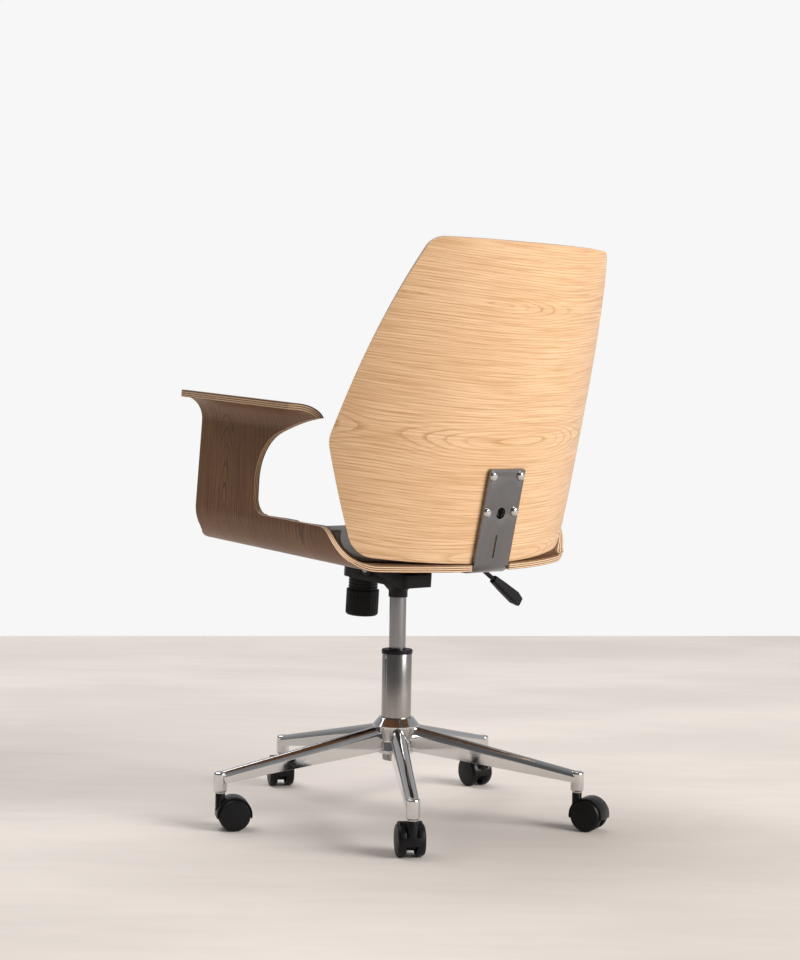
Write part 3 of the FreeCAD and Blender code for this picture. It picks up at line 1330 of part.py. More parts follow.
def back_blank(label, foot, inset):
    """A block with the back's rounded outline, drawn in by an inset, from a height up.

    Its sides run in towards the axis of the bend, so they trim a bent sheet square to its face.
    """
    blank = doc.addObject("PartDesign::Body", label + "_blank")
    back_frame(blank)
    flare = "((back_wide_half - back_foot_half) / back_wide_height)"
    halves = [
        "(back_foot_half + %s * %s - %s)" % (flare, foot, inset),
        "(back_wide_half - %s)" % inset,
        "(back_top_half - %s)" % inset,
    ]
    shoulder = "(back_length - back_top_rise - %s)" % inset
    faces = []
    mids = [[] for half in halves]
    planes = (("outer", "-ply", "back_side_arc"), ("inner", "back_radius / 2", "back_side_arc_in"))
    for name, depth, side_arc in planes:
        face = sketch_on(blank, "%s_%s" % (label, name), "XZ_Plane", depth)
        shift = "(back_radius - (%s))" % depth
        spots = ["(%s * %s / sqrt(back_radius^2 - %s^2))" % (shift, half, half) for half in halves]
        foot_half, wide_half, top_half = spots
        top_arc = "((%s^2 + back_top_rise^2) / (2 * back_top_rise))" % top_half
        outline(face, [
            (foot_half, foot),
            (wide_half, "back_wide_height", side_arc, "left"),
            (top_half, shoulder, top_arc, "left"),
            ("0", "back_length - %s" % inset, top_arc, "left"),
            ("-" + top_half, shoulder, side_arc, "left"),
            ("-" + wide_half, "back_wide_height"),
            ("-" + foot_half, foot),
        ])
        faces.append(face)
        for mid, spot in zip(mids, spots):
            mid.append(value(spot) / 2)
    rounded = blank.newObject("PartDesign::AdditiveLoft", label + "_loft")
    rounded.Profile = faces[0]
    rounded.Sections = faces[1:]
    rounded.Ruled = True

    def corner_at(height, middle_x):
        def test(edge, middle):
            return abs(middle.z - value(height)) < NEAR and abs(abs(middle.x) - middle_x) < NEAR
        return test
    for name, height, mid, radius in (
            ("wide_corners", "back_wide_height", mids[1], "back_wide_round"),
            ("top_corners", shoulder, mids[2], "back_top_round"),
            ("foot_corners", foot, mids[0], "back_foot_round")):
        rounded = fillet(blank, rounded, corner_at(height, sum(mid)), radius, label + "_" + name)
    return blank


def bend_blank(label, sheet, blank):
    """The part that a bent sheet and a flat block share."""
    shell = doc.addObject("Part::MultiCommon", label)
    shell.Label = label
    shell.Shapes = [sheet, blank]
    parts.append(shell)


def make_back_shell():
    """The curved back: a bent sheet, trimmed to its six-sided outline."""
    sheet = doc.addObject("PartDesign::Body", "back_sheet")
    back_frame(sheet)
    plan = sketch_on(sheet, "back_sheet_plan", "XY_Plane")
    sheet_section(plan, "(back_wide_half + ply)", "back_radius", "(back_radius - ply)")
    pad(sheet, plan, "back_length + ply")
    blank = back_blank("back_shell", "0", "0")
    for across in ("screw_half", "-screw_half"):
        for number, height in enumerate(("screw_low", "screw_low + screw_pitch")):
            hole = sketch_on(blank, "back_hole_%s_%d" % ("right" if across[0] == "-" else "left", number), "XZ_Plane")
            ring(hole, across, height, "nut_barrel + fit_gap")
            cut(blank, hole, symmetric=True)
    middle = sketch_on(blank, "back_round_hole", "XZ_Plane")
    ring(middle, "0", "bracket_hole_height", "bracket_hole")
    cut(blank, middle, symmetric=True)
    bend_blank("back_shell", sheet, blank)


# Cushions


LEAN = "(back_recline - seat_tilt)"
# The back's foot in the seat frame
FOOT_Y = "(back_foot * cos(seat_tilt) - (back_height - seat_height) * sin(seat_tilt))"
FOOT_H = "(back_foot * sin(seat_tilt) + (back_height - seat_height) * cos(seat_tilt))"


def along_back(sketch):
    """Move a plan sketch of the seat frame to the back's frame."""
    sketch.AttachmentOffset = FreeCAD.Placement(Vector(0, 1, 1), FreeCAD.Rotation(Vector(1, 0, 0), -1))
    drive(sketch, "AttachmentOffset.Base.y", FOOT_Y)
    drive(sketch, "AttachmentOffset.Base.z", FOOT_H)
    drive(sketch, "AttachmentOffset.Rotation.Angle", "-" + LEAN)


def make_seat_cushion():
    """A dished cushion: it lines the seat and its walls, with a crown and a rounded front."""
    body = new_body("seat_cushion", seat_frame)
    section = sketch_on(body, "seat_cushion_section", "XZ_Plane")
    half = "(shell_half - ply - cushion_gap)"
    floor = "(ply + cushion_gap)"
    bend = "(shell_bend - ply - cushion_gap)"
    deep = "(%s + cushion_floor)" % floor
    side = "(%s - cushion_side)" % half
    inner = "(%s - cushion_bend)" % side
    crown_arc = "(%s^2 + cushion_crown^2) / (2 * cushion_crown)" % inner
    outline(section, [
        ("-(%s - %s)" % (half, bend), floor),
        ("%s - %s" % (half, bend), floor, bend, "left"),
        (half, "%s + %s" % (floor, bend)),
        (half, "cushion_top", "cushion_side * 0.55", "left"),
        (side, "cushion_top"),
        (side, deep + " + cushion_bend", "cushion_bend", "right"),
        (inner, deep, crown_arc, "left"),
        ("-" + inner, deep, "cushion_bend", "right"),
        ("-" + side, deep + " + cushion_bend"),
        ("-" + side, "cushion_top", "cushion_side * 0.55", "left"),
        ("-" + half, "cushion_top"),
        ("-" + half, "%s + %s" % (floor, bend), bend, "left"),
    ])
    pad(body, section, "2 * cushion_front", symmetric=True)
    trim = sketch_on(body, "seat_cushion_trim", "XY_Plane")
    along_back(trim)
    ring(trim, "0", "-back_radius", "back_radius - ply - 4 * cushion_gap")
    ring(trim, "0", "-back_radius", "back_radius + shell_back")
    cut(body, trim, symmetric=True)
    front = sketch_on(body, "seat_cushion_fall", "YZ_Plane")
    above = "cushion_top + cushion_side"
    low = "(%s + cushion_floor / 3)" % floor
    outline(front, [
        ("-cushion_front", low),
        ("-cushion_front - ply", low),
        ("-cushion_front - ply", above),
        ("cushion_fall - cushion_front", above, "cushion_fall * 1.04", "left"),
    ])
    cut(body, front, symmetric=True)
    ends = sketch_on(body, "seat_cushion_ends", "YZ_Plane")
    outline(ends, [
        ("wall_flat", above),
        ("wall_flat", "cushion_top + cushion_side / 3", "shell_bend", "right"),
        ("wall_flat + 5 * ply", "cushion_drop"),
        ("shell_back + ply", "cushion_drop"),
        ("shell_back + ply", above),
    ])
    cut(body, ends, symmetric=True)


def make_back_cushion():
    """The crowned back cushion: it lies on the bent back, inside its outline."""
    crowned = doc.addObject("PartDesign::Body", "back_cushion_slab")
    back_frame(crowned)
    plan = sketch_on(crowned, "back_cushion_plan", "XY_Plane")
    face = "(back_radius - ply - cushion_gap)"
    end = "sqrt(%s^2 - back_wide_half^2)" % face
    bow = "(%s - back_pad_middle - (%s - back_pad_edge))" % (face, end)
    front_arc = "(back_wide_half^2 + %s^2) / (2 * %s)" % (bow, bow)
    outline(plan, [
        ("-back_wide_half", "%s - back_pad_edge - back_radius" % end, front_arc, "right"),
        ("back_wide_half", "%s - back_pad_edge - back_radius" % end),
        ("back_wide_half", "%s - back_radius" % end, face, "left"),
        ("-back_wide_half", "%s - back_radius" % end),
    ])
    pad(crowned, plan, "back_length")
    bend_blank("back_cushion", crowned, back_blank("back_cushion", "back_pad_foot", "back_pad_inset"))


# Bracket and fasteners


def make_bracket():
    """The steel strip that carries the back, bent under the seat shell."""
    body = new_body("back_bracket", seat_frame)
    side = sketch_on(body, "bracket_side", "YZ_Plane")
    corner = "(%s + fit_gap / cos(%s) - %s * tan(%s))" % (FOOT_Y, LEAN, FOOT_H, LEAN)
    setback = "(bracket_bend * tan((90 - %s) / 2))" % LEAN
    reach = "(bracket_top + %s / cos(%s))" % (FOOT_H, LEAN)
    up_y = "%s + %s * sin(%s)" % (corner, setback, LEAN)
    up_h = "%s * cos(%s)" % (setback, LEAN)
    top_y = "%s + %s * sin(%s)" % (corner, reach, LEAN)
    top_h = "%s * cos(%s)" % (reach, LEAN)
    out_y = "bracket_wall * cos(%s)" % LEAN
    out_h = "bracket_wall * sin(%s)" % LEAN
    outline(side, [
        ("bracket_reach", "0"),
        ("bracket_reach", "-bracket_wall"),
        ("%s - %s" % (corner, setback), "-bracket_wall", "bracket_bend + bracket_wall", "left"),
        ("%s + %s" % (up_y, out_y), "%s - %s" % (up_h, out_h)),
        ("%s + %s" % (top_y, out_y), "%s - %s" % (top_h, out_h)),
        (top_y, top_h),
        (up_y, up_h, "bracket_bend", "right"),
        ("%s - %s" % (corner, setback), "0"),
    ])
    strip = pad(body, side, "2 * bracket_half", symmetric=True)

    def sharp(edge, middle):
        at_side = abs(abs(middle.x) - value("bracket_half")) < NEAR
        short = abs(edge.Length - value("bracket_wall")) < NEAR
        return at_side and short
    fillet(body, strip, sharp, "bracket_corner", "bracket_corners")
    body.Tip = body.Group[-1]
    doc.recompute()

    def upright_sketch(name):
        """A sketch square to the bracket's upright leg, in the back's coordinates."""
        sketch = sketch_on(body, name, "XZ_Plane")
        sketch.AttachmentOffset = FreeCAD.Placement(Vector(0, 1, 1), FreeCAD.Rotation(Vector(1, 0, 0), 1))
        drive(sketch, "AttachmentOffset.Base.y", FOOT_H)
        drive(sketch, "AttachmentOffset.Base.z", "-" + FOOT_Y)
        drive(sketch, "AttachmentOffset.Rotation.Angle", "-" + LEAN)
        return sketch
    for x_sign in ("", "-"):
        for number, height in enumerate(("screw_low", "screw_low + screw_pitch")):
            name = "bracket_screw_%s_%d" % ("right" if x_sign else "left", number)
            sketch = upright_sketch(name)
            ring(sketch, x_sign + "screw_half", height, "screw_radius + seat_gap")
            cut(body, sketch, "4 * bracket_wall", symmetric=True)
    hole = upright_sketch("bracket_round_hole")
    ring(hole, "0", "bracket_hole_height", "bracket_hole")
    cut(body, hole, "4 * bracket_wall", symmetric=True)
    slot = upright_sketch("bracket_slot")
    outline(slot, mirrored([
        ("bracket_slot_half", "bracket_slot_low"),
        ("bracket_slot_half", "bracket_slot_high"),
    ]))
    cut(body, slot, "4 * bracket_wall", symmetric=True)
    foot = sketch_on(body, "bracket_foot_hole", "XY_Plane", "-bracket_wall")
    ring(foot, "screw_half", "foot_bolt_back - foot_bolt_pitch", "screw_radius + seat_gap")
    first = cut(body, foot, "bracket_wall", back=True)
    grid(body, first, ("X_Axis", "2 * screw_half", True), ("Y_Axis", "foot_bolt_pitch", False))


def fastener_grid(label, frame, plane, corners, x, y, columns, rows):
    """A grid of like turned fasteners; each stands square to the plane."""
    body = doc.addObject("PartDesign::Body", label)
    body.Label = label
    frame(body)
    body.AllowCompound = True
    sketch = sketch_on(body, label + "_outline", plane)
    outline(sketch, [("%s + %s" % (x, r), a) for r, a in corners])
    drive(sketch, "AttachmentOffset.Base.z", y)
    feature = turn_about(body, sketch, axis_line(body, label + "_axis", plane, x, y))
    grid(body, feature, columns, rows)
    return body


def make_fasteners():
    """Domed bracket screws, seat bolts and the tee nuts that take them."""
    face = "fit_gap + bracket_wall + fit_gap"
    tip = "-ply + nut_flange_height + seat_gap"
    across = ("X_Axis", "2 * screw_half", True)
    up = ("Z_Axis", "screw_pitch", False)
    parts.append(fastener_grid("bracket_screws", back_frame, "XY_Plane", [
        ("0", tip),
        ("screw_radius", tip),
        ("screw_radius", face),
        ("screw_head", face),
        ("screw_head", face + " + screw_head_height / 4"),
        ("screw_head * 0.72", face + " + screw_head_height * 0.8"),
        ("screw_head * 0.35", face + " + screw_head_height"),
        ("0", face + " + screw_head_height"),
    ], "screw_half", "screw_low", across, up))
    parts.append(fastener_grid("back_tee_nuts", back_frame, "XY_Plane", [
        ("screw_radius + fit_gap", "-seat_gap - ply / 4"),
        ("nut_barrel", "-seat_gap - ply / 4"),
        ("nut_barrel", "-ply + fit_gap"),
        ("screw_radius + fit_gap", "-ply + fit_gap"),
    ], "screw_half", "screw_low", across, up))
    bolts = []
    nuts = []
    for name, under, x, y, pitch in (
            ("plate", "(plate_wall + fit_gap)", "plate_bolt_half", "-plate_bolt_front", "plate_bolt_pitch"),
            ("foot", "(bracket_wall + fit_gap)", "screw_half", "foot_bolt_back - foot_bolt_pitch",
             "foot_bolt_pitch")):
        place = ("XZ_Plane", x, "-(%s)" % y, ("X_Axis", "2 * (%s)" % x, True), ("Y_Axis", pitch, False))
        bolts.append(fastener_grid(name + "_bolts", seat_frame, place[0], [
            ("0", "-%s - bolt_head_thick" % under),
            ("bolt_head * 0.8", "-%s - bolt_head_thick" % under),
            ("bolt_head", "-%s - bolt_head_thick * 0.6" % under),
            ("bolt_head", "-" + under),
            ("screw_radius", "-" + under),
            ("screw_radius", "ply - seat_gap"),
            ("0", "ply - seat_gap"),
        ], *place[1:]))
        nuts.append(fastener_grid(name + "_tee_nuts", seat_frame, place[0], [
            ("screw_radius + fit_gap", "seat_gap"),
            ("nut_barrel", "seat_gap"),
            ("nut_barrel", "ply - nut_flange_height"),
            ("nut_flange", "ply - nut_flange_height"),
            ("nut_flange", "ply"),
            ("screw_radius + fit_gap", "ply"),
        ], *place[1:]))
    for label, groups in (("seat_bolts", bolts), ("seat_tee_nuts", nuts)):
        group = doc.addObject("Part::Compound", label)
        group.Label = label
        group.Links = groups
        parts.append(group)


def main():
    """Build every part, check it and write it."""
    hub = make_hub()
    for number in range(LEGS):
        make_leg(number, hub)
    make_column()
    make_piston()
    make_gas_cylinder()
    for number in range(LEGS):
        make_caster(number)
    make_housing()
    make_pivot()
    make_seat_plate()
    make_tension()
    make_spring()
    make_lever()
    make_seat_shell()
    make_seat_cushion()
    make_back_shell()
    make_back_cushion()
    make_bracket()
    make_fasteners()
    doc.recompute()
    failed = [o.Label for o in doc.Objects if "Invalid" in o.State or "Error" in o.State]
    for part in parts:
        if part.Shape.isNull() or not part.Shape.isValid() or not part.Shape.Solids:
            failed.append(part.Label)
    if failed:
        raise RuntimeError("failed: " + ", ".join(failed))
    os.makedirs("parts", exist_ok=True)
    for part in parts:
        part.Shape.exportStep("parts/%s.step" % part.Label)
    print("%d parts written" % len(parts))


main()
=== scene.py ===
"""Desk chair: bentwood, leather, chrome and moulded nylon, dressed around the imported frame."""

import json
import math

import bmesh
import bpy
import numpy as np
from bpy.props import FloatProperty, FloatVectorProperty, PointerProperty
from mathutils import Matrix, Vector
from mathutils.bvhtree import BVHTree


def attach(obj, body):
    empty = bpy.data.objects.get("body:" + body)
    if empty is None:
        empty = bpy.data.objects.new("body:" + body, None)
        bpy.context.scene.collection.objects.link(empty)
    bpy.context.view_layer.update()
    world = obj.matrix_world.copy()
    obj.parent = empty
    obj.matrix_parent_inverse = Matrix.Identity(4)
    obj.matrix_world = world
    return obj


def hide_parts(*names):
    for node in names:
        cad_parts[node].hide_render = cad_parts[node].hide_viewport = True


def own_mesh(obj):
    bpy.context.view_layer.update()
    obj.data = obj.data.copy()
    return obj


bl_info = {
    "name": "Desk chair",
    "version": (1, 0, 0),
    "blender": (4, 5, 0),
    "location": "View3D > Sidebar > Desk chair",
    "description": "Wood, leather, metal and plastic pieces of a swivel desk chair",
    "category": "Object",
}

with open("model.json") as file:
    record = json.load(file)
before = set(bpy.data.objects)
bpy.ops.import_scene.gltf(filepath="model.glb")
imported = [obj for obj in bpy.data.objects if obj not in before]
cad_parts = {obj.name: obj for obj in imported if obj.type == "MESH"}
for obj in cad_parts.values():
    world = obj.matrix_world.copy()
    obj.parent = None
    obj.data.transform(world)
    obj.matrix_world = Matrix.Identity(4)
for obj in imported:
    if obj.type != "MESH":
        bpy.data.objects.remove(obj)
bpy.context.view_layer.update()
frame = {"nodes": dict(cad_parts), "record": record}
NODES = frame["nodes"]
BODY_OF = {n: b for b, names in frame["record"]["behaviour"]["bodies"].items() for n in names}

# The seat's and the back's own frames and the bent wood's sizes, as the solids have them.
SEAT_ORIGIN = (0, 0, 0.4467)
SEAT_TILT = math.radians(-3.6)
BACK_ORIGIN = (0, 0.2189, 0.4446)
BACK_RECLINE = math.radians(-13)
BACK_RADIUS = 0.392
PLY = 0.011
SHELL_HALF = 0.257
SHELL_BEND = 0.060
PAD_TOP = 0.2529
PAD_BEND = 0.040

# A wooden sheet's face is what looks within this angle of the direction through the sheet.
SHEET_ANGLE = math.radians(16)


def colour(name, default, text):
    """A colour setting."""
    return FloatVectorProperty(
        name=name, description=text, default=default, subtype="COLOR", size=3, min=0, max=1)


def length(name, default, text):
    """A length setting, in metres."""
    return FloatProperty(name=name, description=text, default=default, unit="LENGTH", min=0)


def amount(name, default, text, high=1.0):
    """A plain number setting."""
    return FloatProperty(name=name, description=text, default=default, min=0, max=high)


class DESK_PG_wood(bpy.types.PropertyGroup):
    """Veneers and plies."""
    oak_pale: colour("Oak, pale", (0.82, 0.556, 0.328), "Wood between the ring lines of the back")
    oak_line: colour("Oak, line", (0.49, 0.242, 0.085), "Ring lines of the back")
    walnut_pale: colour("Walnut, pale", (0.27, 0.135, 0.060), "Wood between the ring lines of the seat shell")
    walnut_line: colour("Walnut, line", (0.078, 0.030, 0.0115), "Ring lines of the seat shell")
    ply_pale: colour("Ply, pale", (0.80, 0.56, 0.36), "Plies that show their long grain")
    ply_dark: colour("Ply, dark", (0.20, 0.105, 0.05), "Plies that show their end grain")
    oak_spacing: length("Oak ring spacing", 0.0043, "Distance between ring lines on the back")
    walnut_spacing: length("Walnut ring spacing", 0.0055, "Distance between ring lines on the seat shell")
    sheen: amount("Varnish", 0.6, "Weight of the back's coat of varnish; the seat shell has a tenth of it")


class DESK_PG_metal(bpy.types.PropertyGroup):
    """Chrome, steel and enamel."""
    chrome: colour("Chrome", (0.66, 0.655, 0.65), "Plating of the base")
    satin: colour("Satin steel", (0.42, 0.405, 0.39), "Column tube")
    strip: colour("Bracket steel", (0.225, 0.226, 0.23), "Bracket")
    zinc: colour("Zinc", (0.55, 0.55, 0.53), "Plated small parts")
    heads: colour("Polished steel", (0.72, 0.72, 0.71), "Domed screw heads")
    drawn: colour("Drawn steel", (0.33, 0.33, 0.345), "Gas cylinder")
    enamel: colour("Enamel", (0.005, 0.005, 0.0055), "Black enamelled steel")


class DESK_PG_soft(bpy.types.PropertyGroup):
    """Leather and moulded plastic."""
    leather: colour("Leather", (0.088, 0.071, 0.058), "Dyed leather")
    leather_worn: colour("Leather, worn", (0.145, 0.118, 0.096), "Leather where it is rubbed")
    thread: colour("Thread", (0.05, 0.043, 0.038), "Sewing thread")
    nylon: colour("Nylon", (0.0045, 0.0045, 0.005), "Black moulded nylon")
    grain: length("Leather grain", 0.0016, "Size of the leather's pebbles")
    swell: length("Swell", 0.005, "How far the padding may swell")


class DESK_PG_stage(bpy.types.PropertyGroup):
    """Floor, wall and light."""
    floor: colour("Floor", (0.725, 0.665, 0.62), "Floor")
    wall: colour("Wall", (0.93, 0.93, 0.93), "Wall")
    key: FloatProperty(
        name="Key light", description="Power of the key light", default=700, unit="POWER", min=0)
    fill: amount("Fill", 0.52, "Strength of the light from all sides", 10)


def settings():
    """The scene's settings."""
    return bpy.context.scene.desk_chair


class DESK_PG_chair(bpy.types.PropertyGroup):
    """All the settings."""
    wood: PointerProperty(type=DESK_PG_wood)
    metal: PointerProperty(type=DESK_PG_metal)
    soft: PointerProperty(type=DESK_PG_soft)
    stage: PointerProperty(type=DESK_PG_stage)


# Finishes

# The wood's make-up: how many plies a sheet has, the depths between which its face veneer ends, and the
# veneer's figures, each as its middle across the sheet, the pith's mean depth and that depth's swing.
PLIES = 7
VENEER = (0.0007, 0.0009)
OAK_FIGURES = ((0.412, 0.010, 0.10), (0.200, 0.012, 0.12), (0.010, 0.012, 0.09))
WALNUT_FIGURES = ((-0.152, 0.014, 0.11), (0.060, 0.020, 0.10))

# The back's round bore, in the back's own frame, where the wood is painted near black as shade,
# and a height between the seat shell's lower and upper bends.
BORE_HEIGHT = 0.084
BORE_RADIUS = 0.0102
MID_WALL = 0.1


class Wire:
    """One output of a shader tree. Python's operators on it add Math nodes."""

    def __init__(self, finish, socket):
        self.finish = finish
        self.socket = socket

    def __add__(self, other):
        return self.finish.maths("ADD", self, other)

    __radd__ = __add__

    def __sub__(self, other):
        return self.finish.maths("SUBTRACT", self, other)

    def __rsub__(self, other):
        return self.finish.maths("SUBTRACT", other, self)

    def __mul__(self, other):
        return self.finish.maths("MULTIPLY", self, other)

    def __truediv__(self, other):
        return self.finish.maths("DIVIDE", self, other)

    def __abs__(self):
        return self.finish.maths("ABSOLUTE", self)

    def __gt__(self, other):
        return self.finish.maths("GREATER_THAN", self, other)

    def __lt__(self, other):
        return self.finish.maths("LESS_THAN", self, other)


class Finish:
    """A material in the making: its tree, its shader and the few nodes that finishes share."""

    def __init__(self, name):
        self.material = bpy.data.materials.new(name)
        self.material.use_nodes = True
        self.tree = self.material.node_tree
        self.tree.nodes.clear()
        out = self.tree.nodes.new("ShaderNodeOutputMaterial")
        self.shader = self.tree.nodes.new("ShaderNodeBsdfPrincipled")
        self.tree.links.new(self.shader.outputs[0], out.inputs["Surface"])

    def feed(self, socket, what):
        """A value or a wire into a socket."""
        if isinstance(what, Wire):
            self.tree.links.new(what.socket, socket)
        elif what is not None:
            socket.default_value = what

    def node(self, kind, sockets=(), output=0, **chosen):
        """Any node: its settings first, then its sockets, by name or number."""
        made = self.tree.nodes.new("ShaderNode" + kind)
        for name, setting in chosen.items():
            setattr(made, name, setting)
        for name, what in dict(sockets).items():
            self.feed(made.inputs[name], what)
        return Wire(self, made.outputs[output])

    def maths(self, operation, *terms):
        """A Math node."""
        return self.node("Math", dict(enumerate(terms)), operation=operation)

    def mix(self, share, one, other):
        """Two colours mixed."""
        def rgba(c):
            return c if isinstance(c, Wire) else tuple(c)[:3] + (1,)

        return self.node("Mix", {0: share, 6: rgba(one), 7: rgba(other)}, output=2, data_type="RGBA")

    def spread(self, what, low, high, bottom=0.0, top=1.0):
        """A value's span stretched onto another, smoothly and with its ends held."""
        sockets = {0: what, 1: low, 2: high, 3: bottom, 4: top}
        return self.node("MapRange", sockets, interpolation_type="SMOOTHSTEP")

    def split(self, vector):
        """A vector's three parts."""
        node = self.node("SeparateXYZ", {0: vector}).socket.node
        return [Wire(self, s) for s in node.outputs]

    def join(self, x, y, z):
        """A vector of three parts."""
        return self.node("CombineXYZ", {0: x, 1: y, 2: z})

    def place(self, origin=(0, 0, 0), tilt=0.0):
        """Where a point is in a frame of its own."""
        spot = self.node("TexCoord", output=3)
        sockets = {"Vector": spot, "Location": origin, "Rotation": (tilt, 0, 0)}
        return self.node("Mapping", sockets, vector_type="TEXTURE")

    def noise(self, vector, scale, detail=2.0, rough=0.5, output=0):
        """Soft noise."""
        sockets = {"Vector": vector, "Scale": scale, "Detail": detail, "Roughness": rough}
        return self.node("TexNoise", sockets, output=output)

    def bump(self, height, distance, strength=1.0):
        """A relief on the surface."""
        relief = self.node("Bump", {"Height": height, "Distance": distance, "Strength": strength})
        self.feed(self.shader.inputs["Normal"], relief)

    def set(self, **sockets):
        """Sockets of the shader, with _ for a space in their names."""
        for name, what in sockets.items():
            self.feed(self.shader.inputs[name.replace("_", " ")], what)
        return self


def length_of(finish, a, b):
    """The length of a plane vector."""
    return finish.maths("SQRT", a * a + b * b)


def veneer(finish, along, across, figures, spacing, pale, line, varnish):
    """A flat-sawn veneer. Its rings lie round the pith, which wanders under the sheet along each figure."""
    drift = finish.noise(finish.join(along * 1.1, across * 2.4, 0), 2.2, 1)
    height = 1
    for middle, depth, swing in figures:
        sway = finish.noise(finish.join(along * 1.6, middle * 70, 0), 2.0, 0)
        deep = finish.noise(finish.join(along * 1.3, middle * 40, 0), 2.0, 0)
        far = across - middle + (sway - 0.5) * 0.02
        height = finish.maths("MINIMUM", height, length_of(finish, far, depth + (deep - 0.5) * swing))
    ripple = finish.noise(finish.join(along * 9, across * 75, 0), 1, 1)
    phase = (height + (drift - 0.5) * 0.03) / spacing + ripple * 0.4
    ring = finish.maths("FRACT", phase)
    which = finish.node("TexWhiteNoise", {"W": finish.maths("FLOOR", phase)}, noise_dimensions="1D")
    dark = finish.spread(ring, 0.05, 0.4, 1.0, 0.0) * finish.spread(ring, 0.0, 0.05)
    broken = finish.noise(finish.join(along * 26, across * 420, 0), 1, 3, 0.6)
    streak = finish.noise(finish.join(along * 7, across * 330, 0), 1, 3, 0.65)
    fibre = finish.noise(finish.join(along * 10, across * 1500, 0), 1, 2, 0.7)
    pores = finish.noise(finish.join(along * 90, across * 1900, 0), 1, 1)
    cloud = finish.noise(finish.join(along * 3, across * 9, 0), 1, 3)
    depth = dark * (0.5 + which * 0.5) * finish.spread(broken, 0.3, 0.6, 0.4, 1.0)
    pitted = finish.spread(pores, 0.62, 0.72) * (0.15 + dark * 0.5)
    shade = finish.mix(depth, pale, line)
    shade = finish.mix(finish.spread(streak, 0.4, 0.66, 0.0, 0.6), shade, line)
    shade = finish.mix((fibre - 0.5) * 0.6 + 0.08, shade, line)
    shade = finish.mix(pitted * 0.55, shade, [c * 0.45 for c in line])
    shade = finish.mix(finish.spread(cloud, 0.35, 0.7, 0.0, 0.25), shade, [c * 1.1 for c in line])
    finish.bump(fibre * 0.4 - depth * 0.5 - pitted * 0.8, 0.00012, 0.6)
    rough = 0.36 + fibre * 0.08 + pitted * 0.1
    finish.set(Coat_Weight=varnish, Coat_Roughness=0.3, Specular_IOR_Level=0.35)
    return shade, rough


def plies(finish, through, along, face, rough, wood, bore_shade=0):
    """Veneer on the faces and striped plies on the edges, from the depth through the sheet.

    Where the last argument is 1, inside the back's round bore, the wood is painted near black as shade.
    """
    layer = through / PLY * PLIES
    turn = finish.noise(finish.join(along * 9, layer * 0.2, 0), 1, 1)
    strip = finish.maths("FRACT", (layer + (turn - 0.5) * 0.22) / 2)
    stripe = finish.spread(abs(strip - 0.5), 0.2, 0.29)
    grain = finish.noise(finish.join(along * 240, through * 900, 0), 1, 2)
    edge = finish.mix(stripe, wood.ply_pale, wood.ply_dark)
    edge = finish.mix((grain - 0.4) * 0.4, edge, [c * 0.5 for c in wood.ply_dark])
    skin, core = VENEER
    inside = finish.spread(through, skin, core) * finish.spread(through, PLY - core, PLY - skin, 1.0, 0.0)
    # The near-black colour here is painted shade for the inside of the bore.
    shade = finish.mix(bore_shade, finish.mix(inside, face, edge), [c * 0.02 for c in wood.ply_dark])
    finish.set(Base_Color=shade, Roughness=rough + inside * 0.12)


def back_veneer():
    """Pale oak, its grain across the back."""
    wood = settings().wood
    finish = Finish("Oak veneer")
    x, y, z = finish.split(finish.place(BACK_ORIGIN, BACK_RECLINE))
    y = y + BACK_RADIUS
    along = finish.maths("ARCTAN2", x, y) * BACK_RADIUS
    face, rough = veneer(
        finish, along, z, OAK_FIGURES, wood.oak_spacing, wood.oak_pale, wood.oak_line, wood.sheen)
    # Painted shade: the wood inside the round bore is painted near black.
    bore_shade = length_of(finish, x, z - BORE_HEIGHT) < BORE_RADIUS
    plies(finish, BACK_RADIUS - length_of(finish, x, y), along + z, face, rough, wood, bore_shade)
    return finish.material


def shell_veneer():
    """Walnut, its grain down the arms and across the seat."""
    wood = settings().wood
    finish = Finish("Walnut veneer")
    x, y, z = finish.split(finish.place(SEAT_ORIGIN, SEAT_TILT))
    side = abs(x)
    low = length_of(
        finish,
        finish.maths("MAXIMUM", side - (SHELL_HALF - SHELL_BEND), 0),
        finish.maths("MINIMUM", z - SHELL_BEND, 0))
    high = length_of(
        finish,
        finish.maths("MAXIMUM", SHELL_HALF + PAD_BEND - side, 0),
        finish.maths("MAXIMUM", z - (PAD_TOP - PLY - PAD_BEND), 0))
    upper = z > MID_WALL
    through = (SHELL_BEND - low) * (1 - upper) + (high - PAD_BEND) * upper
    along = z + side
    face, rough = veneer(
        finish, along, y, WALNUT_FIGURES, wood.walnut_spacing, wood.walnut_pale, wood.walnut_line,
        wood.sheen * 0.1)
    plies(finish, through, y + along, face, rough, wood)
    return finish.material


def chrome():
    """Polished plating, with faint smears."""
    finish = Finish("Chrome plating")
    smear = finish.noise(finish.place(), 22, 3)
    rough = finish.spread(smear, 0.4, 0.75, 0.05, 0.13)
    finish.bump(finish.noise(finish.place(), 160, 1), 0.00004, 0.3)
    tint = tuple(settings().metal.chrome) + (1,)
    return finish.set(Base_Color=tint, Metallic=1.0, Roughness=rough).material


def brushed(name, tint, stretch, low, high):
    """Steel brushed one way: fine streaks in its gloss, its colour and its relief."""
    finish = Finish(name)
    x, y, z = finish.split(finish.place())
    streak = finish.noise(finish.join(x * stretch[0], y * stretch[1], z * stretch[2]), 1, 3, 0.65)
    cloud = finish.noise(finish.place(), 18, 2)
    shade = finish.mix(streak * 0.5 + cloud * 0.3, tint, [c * 0.62 for c in tint])
    finish.bump(streak, 0.00003, 0.5)
    rough = finish.spread(streak * 0.6 + cloud * 0.4, 0.3, 0.7, low, high)
    return finish.set(Base_Color=shade, Metallic=1.0, Roughness=rough).material


